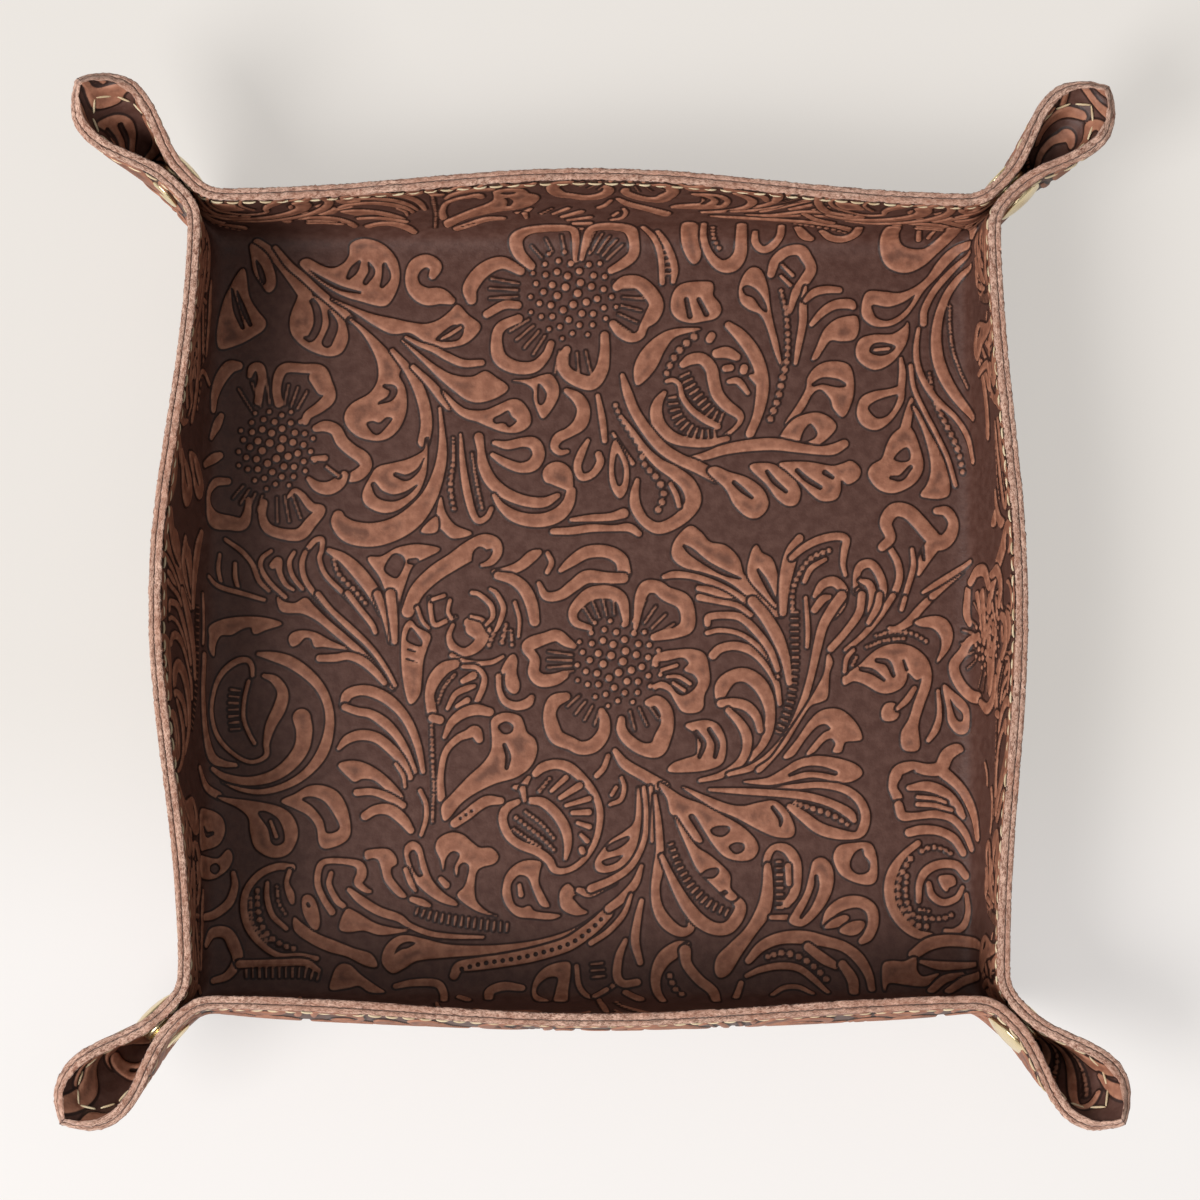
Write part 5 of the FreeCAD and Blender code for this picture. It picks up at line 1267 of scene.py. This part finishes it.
def leather_material(name):
    """Embossed, antiqued leather: rubbed brown on the raised parts and dark in the ground between them."""
    nodes = Nodes(name)
    tool = nodes.attribute("tool")
    sheet = nodes.attribute("sheet", "Vector")
    cloud = nodes.noise(sheet, *CLOUD)
    mottle = nodes.noise(sheet, *MOTTLE)
    speck = nodes.noise(sheet, *SPECK)
    pores = nodes.cells(sheet, PORE_SCALE)

    raised = nodes.mix(nodes.ramp(mottle, *RAISED_MOTTLE), linear(*RAISED_DARK), linear(*RAISED))
    smudge = nodes.math("MULTIPLY", nodes.ramp(tool, *SMUDGE_DEPTH), nodes.ramp(cloud, *SMUDGE_CLOUD))
    raised = nodes.mix(smudge, raised, linear(*SMUDGE))
    rubbed = nodes.math("MULTIPLY", nodes.ramp(tool, *RUBBED_DEPTH), nodes.ramp(mottle, *RUBBED_MOTTLE))
    raised = nodes.mix(rubbed, raised, linear(*RUBBED))
    ground = nodes.mix(nodes.ramp(mottle, *GROUND_MOTTLE), linear(*GROUND), linear(*GROUND_PALE))
    line = nodes.math("MULTIPLY", nodes.ramp(tool, *OUTLINE_FOOT), nodes.ramp(tool, *OUTLINE_TOP))
    ground = nodes.mix(nodes.math("MULTIPLY", line, OUTLINE_SHARE), ground, linear(*OUTLINE))
    colour = nodes.mix(nodes.ramp(tool, *RAISED_DEPTH), ground, raised)
    colour = nodes.mix(nodes.ramp(speck, *SPECK_SHARE), colour, linear(*GROUND_PALE))

    gloss = nodes.math("ADD", nodes.ramp(tool, *GLOSS_DEPTH), nodes.ramp(mottle, *GLOSS_MOTTLE))
    grain = nodes.math("ADD", nodes.math("MULTIPLY", pores, PORE_HEIGHT),
                       nodes.math("MULTIPLY", speck, SPECK_HEIGHT))
    return nodes.finish(Base_Color=colour, Roughness=gloss, Specular_IOR_Level=0.28,
                        Normal=nodes.bump(grain, *GRAIN_BUMP))


# Raw edge: its noises, the fibres' stretch through the leather, and limits like the leather's
FIBRE = (1.3, 4.0, 0.75)
FIBRE_STRETCH = (1.0, 1.0, 1.4)
TUFT = (0.5, 3.0, 0.6)
PATCH = (0.09, 3.0)
FIBRE_SHARE = 0.65
TUFT_SHARE = 0.35
PALE_FIBRE = (0.4, 0.58)
WARM_PATCH = (0.4, 0.65, 0.15, 0.5)
GAP_PLACE = (0.74, 1.0)
GAP_TUFT = (0.3, 0.6, 0.35, 0.85)
FIBRE_BUMP = (0.8, 0.0004)


def raw_edge_material():
    """Cut edge of the leather: fuzzy pale fibres, darker down in the line between the layers."""
    nodes = Nodes("raw_leather_edge")
    sheet = nodes.attribute("sheet", "Vector")
    edge = nodes.attribute("edge")
    fibre = nodes.noise(nodes.scaled(sheet, FIBRE_STRETCH), *FIBRE)
    tuft = nodes.noise(sheet, *TUFT)
    patch = nodes.noise(sheet, *PATCH)
    pale = nodes.math("ADD", nodes.math("MULTIPLY", fibre, FIBRE_SHARE),
                      nodes.math("MULTIPLY", tuft, TUFT_SHARE))
    colour = nodes.mix(nodes.ramp(pale, *PALE_FIBRE), linear(*EDGE_DARK), linear(*EDGE_PALE))
    colour = nodes.mix(nodes.ramp(patch, *WARM_PATCH), colour, linear(*EDGE_WARM))
    gap = nodes.math("MULTIPLY", nodes.ramp(edge, *GAP_PLACE), nodes.ramp(tuft, *GAP_TUFT))
    colour = nodes.mix(gap, colour, linear(*OUTLINE))
    return nodes.finish(Base_Color=colour, Roughness=0.92, Specular_IOR_Level=0.15,
                        Sheen_Weight=0.25, Sheen_Roughness=0.5, Normal=nodes.bump(fibre, *FIBRE_BUMP))


# Thread and plating: the same kinds of values, with noises that follow the object's metres
SOIL = (160.0, 3.0)
SOIL_SHARE = (0.4, 0.75)
TWIST = (3500.0, 2.0)
TWIST_BUMP = (0.5, 0.0001)
RUBBING = (900.0, 4.0)
RUBBING_STRETCH = (1.0, 1.0, 6.0)
RUBBING_BUMP = (0.08, 0.0001)
STAIN = (220.0, 3.0)
STAIN_SHARE = (0.45, 0.75)
PLATING_GLOSS = (0.3, 0.7, 0.2, 0.38)


def thread_material():
    """Waxed cream thread, a little soiled."""
    nodes = Nodes("cream_thread")
    place = nodes.add("ShaderNodeTexCoord", {}, "Object")
    soil = nodes.noise(place, *SOIL)
    twist = nodes.noise(place, *TWIST)
    colour = nodes.mix(nodes.ramp(soil, *SOIL_SHARE), linear(*THREAD), linear(*THREAD_SOILED))
    return nodes.finish(Base_Color=colour, Roughness=0.6, Normal=nodes.bump(twist, *TWIST_BUMP))


def brass_material():
    """Pale gold plating with fine rubbing."""
    nodes = Nodes("pale_gold_plating")
    place = nodes.add("ShaderNodeTexCoord", {}, "Object")
    rubbing = nodes.noise(nodes.scaled(place, RUBBING_STRETCH), *RUBBING)
    stain = nodes.noise(place, *STAIN)
    colour = nodes.mix(nodes.ramp(stain, *STAIN_SHARE), linear(*GOLD), linear(*GOLD_STAINED))
    return nodes.finish(Base_Color=colour, Metallic=1.0, Roughness=nodes.ramp(rubbing, *PLATING_GLOSS),
                        Normal=nodes.bump(rubbing, *RUBBING_BUMP))


leather = {layer: leather_material(layer + "_leather") for layer in ("lining", "cover")}
raw_edge = raw_edge_material()
thread = thread_material()
brass = brass_material()

# Pieces of leather: the cover is tooled like the lining; the base's pieces ride on the base, the others keep
# their places
fields = {"lining": tooled_field(TOOLING)}
fields["cover"] = fields["lining"][::-1]


def put_on_base(piece, *nodes):
    """The piece rides on the base and stands for those nodes."""
    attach(piece, "base")
    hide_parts(*nodes)


def turned_point(turn, across, out, height):
    """Place in metres of a point given with the side turned to the north, in millimetres."""
    x, y = turned(turn, across, out)
    return x * MM, y * MM, height * MM


def bend_wall(piece):
    """Bakes the piece's place into its mesh; nothing bends it at the fold."""
    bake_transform(piece)


def bend_ear(piece):
    """Bakes the piece's place into its mesh; nothing bends it at the neck."""
    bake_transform(piece)


base_nodes = {"lining": ("inner_base", "base_fold_lining"), "cover": ("outer_base", "base_fold_cover")}
for layer in ("lining", "cover"):
    base_piece = leather_piece("base_" + layer + "_leather", "base", 0, layer)
    put_on_base(base_piece, *base_nodes[layer])
    for turn, (side, cap_corner, stud_corner, _, _) in enumerate(SIDES):
        wall = leather_piece(f"{side}_wall_{layer}_leather", "wall", turn, layer)
        bend_wall(wall)
        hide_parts(f"{side}_wall_{layer}")
        for region, body in (("west_ear", cap_corner + "_cap_ear"), ("east_ear", stud_corner + "_stud_ear")):
            ear = leather_piece(f"{body}_{layer}_leather", region, turn, layer)
            bend_ear(ear)
            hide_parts(f"{body}_{layer}")
            if region == "west_ear" and layer == "cover":
                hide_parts(f"{body}_{layer}", cap_corner + "_ear_crease")

# Between the layers at each corner strips of leather close the fold where it parts when the tray is laid
# open: a tongue and a fin on the base, and a root at each wall's end and at each ear half
TONGUE_OUTLINE = ((86.0, 86.0), (98.5, 86.0), (98.5, 97.8), (97.8, 98.5), (86.0, 98.5))
TONGUE_HEIGHTS = (1.7, 2.3)
STRIP_HALF_THICKNESS = 0.3
# Sheet coordinates of a strip's ends on the crease, and how far it goes back from the crease and over it
FIN = (96.0, 103.0, 2.5, 2.5)
WALL_ROOT = (95.0, 109.0, 8.0, 5.0)
EAR_ROOT = (98.0, 109.0, 8.0, 2.5)


def hidden_leather(name, points, faces):
    """Piece of plain leather without tooling."""
    piece = mesh_piece(name, points, [(faces, False, 0)], [leather["cover"]])
    store(piece, "tool", "FLOAT", np.full(len(points), -MOST_DEPTH))
    store(piece, "sheet", "FLOAT_VECTOR", points)
    return piece


def fold_tongue(turn, corner):
    """Tongue between the base's layers, in the corner at the east end of a side turned to the north."""
    points = np.array([turned_point(turn, across, out, height) for height in TONGUE_HEIGHTS
                       for across, out in TONGUE_OUTLINE]) / MM
    count = len(TONGUE_OUTLINE)
    under = list(range(count))
    over = [number + count for number in under]
    sides = [[a, b, b + count, a + count] for a, b in zip(under, under[1:] + under[:1])]
    return hidden_leather(corner + "_fold_tongue", points, [under[::-1], over] + sides)


def fold_strip(name, turn, east, extent):
    """Strip on the sheet's middle surface at the crease at one end of a side turned to the north."""
    start, end, back, beyond = extent
    place, out = turned_sheet[turn]
    steps = np.arange(-int(back / GRID_STEP), int(beyond / GRID_STEP) + 1)
    rows = np.arange(grid_index(start), grid_index(end) + 1)[:, None]
    across = rows + np.minimum(steps, 0)
    node = across if east else grid_count - 1 - across, rows - np.maximum(steps, 0)
    middle = place[node] + out[node] * LAYER
    lift = out[node] * STRIP_HALF_THICKNESS
    number = np.arange(2 * rows.size * steps.size).reshape(2, rows.size, steps.size)
    cells = [number[:, :-1, :-1], number[:, 1:, :-1], number[:, 1:, 1:], number[:, :-1, 1:]]
    inner, outer = np.stack(cells, -1).reshape(2, -1, 4)
    under, over = [np.concatenate([level[0, :-1], level[:-1, -1], level[-1, :0:-1], level[:0:-1, 0]])
                   for level in number]
    borders = np.stack([over, np.roll(over, -1), np.roll(under, -1), under], 1)
    faces = np.vstack([inner[:, ::-1], outer, borders])
    points = np.stack([middle - lift, middle + lift]).reshape(-1, 3)
    return hidden_leather(name, points, faces if east else faces[:, ::-1])


for turn, (side, cap_corner, stud_corner, _, _) in enumerate(SIDES):
    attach(fold_tongue(turn, stud_corner), "base")
    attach(fold_strip(stud_corner + "_fold_fin", turn, True, FIN), "base")
    for body, east in ((cap_corner + "_cap_ear", False), (stud_corner + "_stud_ear", True)):
        bend_wall(fold_strip(body + "_wall_root", turn, east, WALL_ROOT))
        bend_ear(fold_strip(body + "_root", turn, east, EAR_ROOT))


# Seams: dashes of thread on both faces of the leather, sunk into it at their ends
STITCH_POINTS = 9
STITCH_ARCH = 0.6
STITCH_END = 0.55
STITCH_SINK = 0.8
STITCH_LENGTHS = (0.92, 1.06)
STITCH_SLANT = 0.22
STITCH_SEED = 23
TUBE_AROUND = 8


def sheet_points(turn, across, out):
    """Places and outward directions at points of the inner face, with the side turned to the north."""
    i = (np.asarray(across) + grid_half) / GRID_STEP
    j = np.full(i.shape, (out + grid_half) / GRID_STEP)
    low_i, low_j = np.floor(i).astype(int), np.floor(j).astype(int)
    share_i, share_j = (i - low_i)[:, None], (j - low_j)[:, None]
    found = []
    for values in turned_sheet[turn]:
        near = values[low_i, low_j] * (1 - share_i) + values[low_i + 1, low_j] * share_i
        far = values[low_i, low_j + 1] * (1 - share_i) + values[low_i + 1, low_j + 1] * share_i
        found.append(near * (1 - share_j) + far * share_j)
    return found


def ring_faces(rings, around):
    """Corner numbers of each ring, the ones that follow round the ring, and the faces between the rings."""
    number = np.arange(rings * around).reshape(-1, around)
    following = np.roll(number, -1, 1)
    faces = np.stack([number[:-1], following[:-1], following[1:], number[1:]], -1).reshape(-1, 4)
    return number, following, faces


def tube(centres, sides, radii):
    """Corner places and faces of a closed tube round a path, with a direction across it at each point."""
    heading = np.gradient(centres, axis=0)
    heading /= np.linalg.norm(heading, axis=1, keepdims=True)
    lift = np.cross(sides, heading)
    angle = np.linspace(0, 2 * np.pi, TUBE_AROUND, endpoint=False)
    rings = centres[:, None] + radii[:, None, None] * (
        np.cos(angle)[None, :, None] * sides[:, None] + np.sin(angle)[None, :, None] * lift[:, None])
    number, _, faces = ring_faces(len(centres), TUBE_AROUND)
    ends = [number[0][::-1], number[-1]]
    return rings.reshape(-1, 3), faces, ends


def seam_piece(name, turn, first, last):
    """Stitches of one stretch of the seam, on the inner and the outer face."""
    share = np.linspace(0, 1, STITCH_POINTS)
    arch = np.sin(np.pi * share) ** STITCH_ARCH
    radii = THREAD_RADIUS * (STITCH_END + (1 - STITCH_END) * arch)
    strays = np.random.default_rng(STITCH_SEED + turn)
    points, faces, ends, total = [], [], [], 0
    for stitch in range(int(np.ceil(first / STITCH_PITCH)), int(np.floor(last / STITCH_PITCH)) + 1):
        middle = stitch * STITCH_PITCH
        length = STITCH_LENGTH * strays.uniform(*STITCH_LENGTHS)
        slant = strays.uniform(-STITCH_SLANT, STITCH_SLANT)
        across = np.clip(middle + (share - 0.5) * length, -SHEET_HALF, SHEET_HALF)
        places, outwards = sheet_points(turn, across, SEAM_OUT)
        above, _ = sheet_points(turn, across, SEAM_OUT + 1)
        rise = above - places
        for face_at, way in ((SEAM_DENT + pared("lining", SEAM_OUT), -1),
                             (LEATHER - SEAM_DENT - pared("cover", SEAM_OUT), 1)):
            lifted = face_at + way * THREAD_RADIUS * STITCH_SINK * (arch - 1)
            centres = places + outwards * lifted[:, None] + rise * (slant * (share - 0.5) * 2)[:, None]
            corners, sides, caps = tube(centres, outwards, radii)
            points.append(corners)
            faces.append(sides + total)
            ends += [cap + total for cap in caps]
            total += len(corners)
    groups = [(np.vstack(faces), True, 0), (ends, False, 0)]
    return mesh_piece(name, np.vstack(points), groups, [thread])


for turn, (side, cap_corner, stud_corner, _, _) in enumerate(SIDES):
    wall_seam = seam_piece(side + "_wall_seam", turn, -BASE_HALF, BASE_HALF)
    bend_wall(wall_seam)
    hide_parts(side + "_wall_stitching")
    for body, first, last in ((cap_corner + "_cap_ear", -SEAM_OUT, -BASE_HALF),
                              (stud_corner + "_stud_ear", BASE_HALF, SEAM_OUT)):
        ear_seam = seam_piece(body + "_seam", turn, first, last)
        bend_ear(ear_seam)
        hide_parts(body + "_stitching")


# Snaps: turned pieces on an axis across the corner's mirror plane, along the ear and up the wall
SNAP_STATION = 10.0
SNAP_HEIGHT = 31.5
OUTER_PRESS = 0.1
INNER_PRESS = 0.05
OUTER_SEAT = PINCH_GAP + LEATHER - OUTER_PRESS - pared("cover", INNER_HALF + SNAP_HEIGHT - LEATHER)
INNER_SEAT = PINCH_GAP - INNER_PRESS
SNAP_AROUND = 64


def seated(seat, *profile):
    """Profile of radius and height over a seat, with heights over the mirror plane."""
    return [(radius, seat + height) for radius, height in profile]


SNAP_PROFILES = {
    "cap": seated(OUTER_SEAT, (0, -0.9), (7.0, -0.9), (7.45, -0.2), (7.5, 0.2), (7.35, 0.45), (7.0, 0.62),
                  (6.5, 0.8), (5.4, 1.12), (4.0, 1.4), (2.4, 1.6), (1.2, 1.68), (0, 1.7)),
    "socket": seated(INNER_SEAT, (0, 1.7), (4.9, 1.7), (4.95, 0.3), (4.6, -0.1), (4.0, -0.2), (3.4, -0.15),
                     (2.9, 0.1), (2.75, 0.6), (2.75, 1.3), (0, 1.3)),
    "stud": seated(INNER_SEAT, (0, 1.0), (4.9, 1.0), (4.95, 0.2), (4.5, -0.1), (2.6, -0.2), (2.15, -0.5),
                   (2.1, -0.9), (2.4, -1.08), (2.45, -1.23), (2.3, -1.43), (1.8, -1.58), (0, -1.58)),
    "post": seated(OUTER_SEAT, (0, -0.9), (4.6, -0.9), (4.95, -0.1), (5.0, 0.2), (4.8, 0.5), (4.3, 0.72),
                   (3.2, 0.8), (2.2, 0.74), (1.7, 0.5), (1.5, 0.1), (0, 0)),
}


def turned_snap(name, profile, turn, way):
    """Round snap piece at one end of the side that is turned to the north."""
    angle = np.linspace(0, 2 * np.pi, SNAP_AROUND, endpoint=False)
    radius, height = np.array(profile[1:-1]).T
    ring = np.stack([np.cos(angle), np.sin(angle)], -1)
    axis = np.array([-way, 1, 0]) / math.sqrt(2)
    along = np.array([way, 1, 0]) / math.sqrt(2)
    up = np.array([0, 0, 1.0])
    centre = np.array([way * INNER_HALF, INNER_HALF, SNAP_HEIGHT]) + along * SNAP_STATION * EAR_STRETCH
    flat = radius[:, None, None] * ring
    points = centre + flat[..., :1] * along + flat[..., 1:] * up + (height[:, None] * axis)[:, None]
    points = np.vstack([points.reshape(-1, 3), centre + profile[0][1] * axis, centre + profile[-1][1] * axis])
    number, following, quads = ring_faces(len(radius), SNAP_AROUND)
    low, high = len(points) - 2, len(points) - 1
    under = np.stack([following[0], number[0], np.full(SNAP_AROUND, low)], -1)
    over = np.stack([number[-1], following[-1], np.full(SNAP_AROUND, high)], -1)
    if np.dot(np.cross(along, up), axis) < 0:
        quads, under, over = quads[:, ::-1], under[:, ::-1], over[:, ::-1]
    x, y, z = points.T
    x, y = turned(turn, x, y)
    groups = [(quads, True, 0), (under, True, 0), (over, True, 0)]
    return mesh_piece(name, np.stack([x, y, z], -1), groups, [brass])


for turn, (side, cap_corner, stud_corner, _, _) in enumerate(SIDES):
    for corner, ear, kinds, way in ((cap_corner, "_cap_ear", ("cap", "socket"), -1),
                                    (stud_corner, "_stud_ear", ("stud", "post"), 1)):
        for kind in kinds:
            piece = turned_snap(f"{corner}_snap_{kind}_turned", SNAP_PROFILES[kind], turn, way)
            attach(piece, corner + ear)
            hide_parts(f"{corner}_snap_{kind}")


# Floor, light and camera
# Floor colours to the north and south: the paper darkens towards the north by painted shade
FLOOR_NORTH = (237, 232, 226)
FLOOR_SOUTH = (248, 244, 241)
FLOOR_SHADE = (-0.1, -0.01)
FLOOR_GLOW = 0.6
FLOOR_HALF = 3.0
# Lamps: name, place in metres, size and watts
LAMPS = (("key", (-1.65, -1.1, 2.0), 1.3, 79.0), ("fill", (0.6, -0.4, 3.0), 2.0, 5.0))
WORLD_COLOUR = (1.0, 0.99, 0.97, 1.0)
WORLD_STRENGTH = 0.27
# View: tilts, distance in millimetres, pixels per millimetre and the point it looks at
VIEW_TILT = math.radians(6.5)
VIEW_WEST = math.radians(1.8)
VIEW_DISTANCE = 953.0
VIEW_SCALE = 3.81
VIEW_AIM = (2.36, 3.15, LEATHER)
IMAGE_SIZE = 1200
SENSOR = 36.0


def floor_material():
    """Pale paper, with painted shade that makes it a little darker to the north, and softened shadows where
    the camera or gloss sees it.
    """
    nodes = Nodes("pale_floor")
    place = nodes.add("ShaderNodeTexCoord", {}, "Object")
    north = nodes.add("ShaderNodeSeparateXYZ", {0: place}, "Y")
    # Painted shade: the paper's colour darkens towards the north
    colour = nodes.mix(nodes.ramp(north, *FLOOR_SHADE), linear(*FLOOR_SOUTH), linear(*FLOOR_NORTH))
    seen = nodes.add("ShaderNodeLightPath", {}, "Is Camera Ray")
    for ray in ("Is Glossy Ray", "Is Transmission Ray"):
        seen = nodes.math("MAXIMUM", seen, nodes.add("ShaderNodeLightPath", {}, ray))
    glow = nodes.add("ShaderNodeEmission", {"Color": colour, "Strength": 1.0})
    share = nodes.math("MULTIPLY", seen, FLOOR_GLOW)
    paper = nodes.add("ShaderNodeMixShader", {0: share, 1: nodes.shader.outputs[0], 2: glow})
    nodes.feed(nodes.tree.nodes["Material Output"].inputs["Surface"], paper)
    return nodes.finish(Base_Color=colour, Roughness=0.9, Specular_IOR_Level=0.1)


def area_light(name, place, size, power):
    """Square lamp that shines on the tray."""
    data = bpy.data.lights.new(name, "AREA")
    data.size = size
    data.energy = power
    lamp = bpy.data.objects.new(name, data)
    lamp.location = place
    lamp.rotation_mode = "QUATERNION"
    lamp.rotation_quaternion = (-Vector(place)).to_track_quat("-Z", "Y")
    bpy.context.scene.collection.objects.link(lamp)


floor_mesh = bpy.data.meshes.new("floor")
floor_corners = [(x * FLOOR_HALF, y * FLOOR_HALF, 0) for x, y in ((-1, -1), (1, -1), (1, 1), (-1, 1))]
floor_mesh.from_pydata(floor_corners, [], [(0, 1, 2, 3)])
floor_mesh.materials.append(floor_material())
floor = bpy.data.objects.new("floor", floor_mesh)
bpy.context.scene.collection.objects.link(floor)

for lamp_values in LAMPS:
    area_light(*lamp_values)

world = bpy.data.worlds.new("soft_room")
world.use_nodes = True
world.node_tree.nodes["Background"].inputs["Color"].default_value = WORLD_COLOUR
world.node_tree.nodes["Background"].inputs["Strength"].default_value = WORLD_STRENGTH
bpy.context.scene.world = world

camera_data = bpy.data.cameras.new("camera")
camera_data.sensor_width = SENSOR
camera_data.lens = VIEW_SCALE * VIEW_DISTANCE / IMAGE_SIZE * SENSOR
camera = bpy.data.objects.new("camera", camera_data)
back = Vector((-math.sin(VIEW_WEST), -math.sin(VIEW_TILT), 0))
back.z = math.sqrt(1 - back.length_squared)
right = Vector((0, 1, 0)).cross(back).normalized()
up = back.cross(right)
turn_to_view = Matrix((right, up, back)).transposed().to_4x4()
camera.matrix_world = Matrix.Translation(Vector(VIEW_AIM) * MM + back * VIEW_DISTANCE * MM) @ turn_to_view
bpy.context.scene.collection.objects.link(camera)
bpy.context.scene.camera = camera

bpy.context.scene.view_settings.view_transform = "Standard"
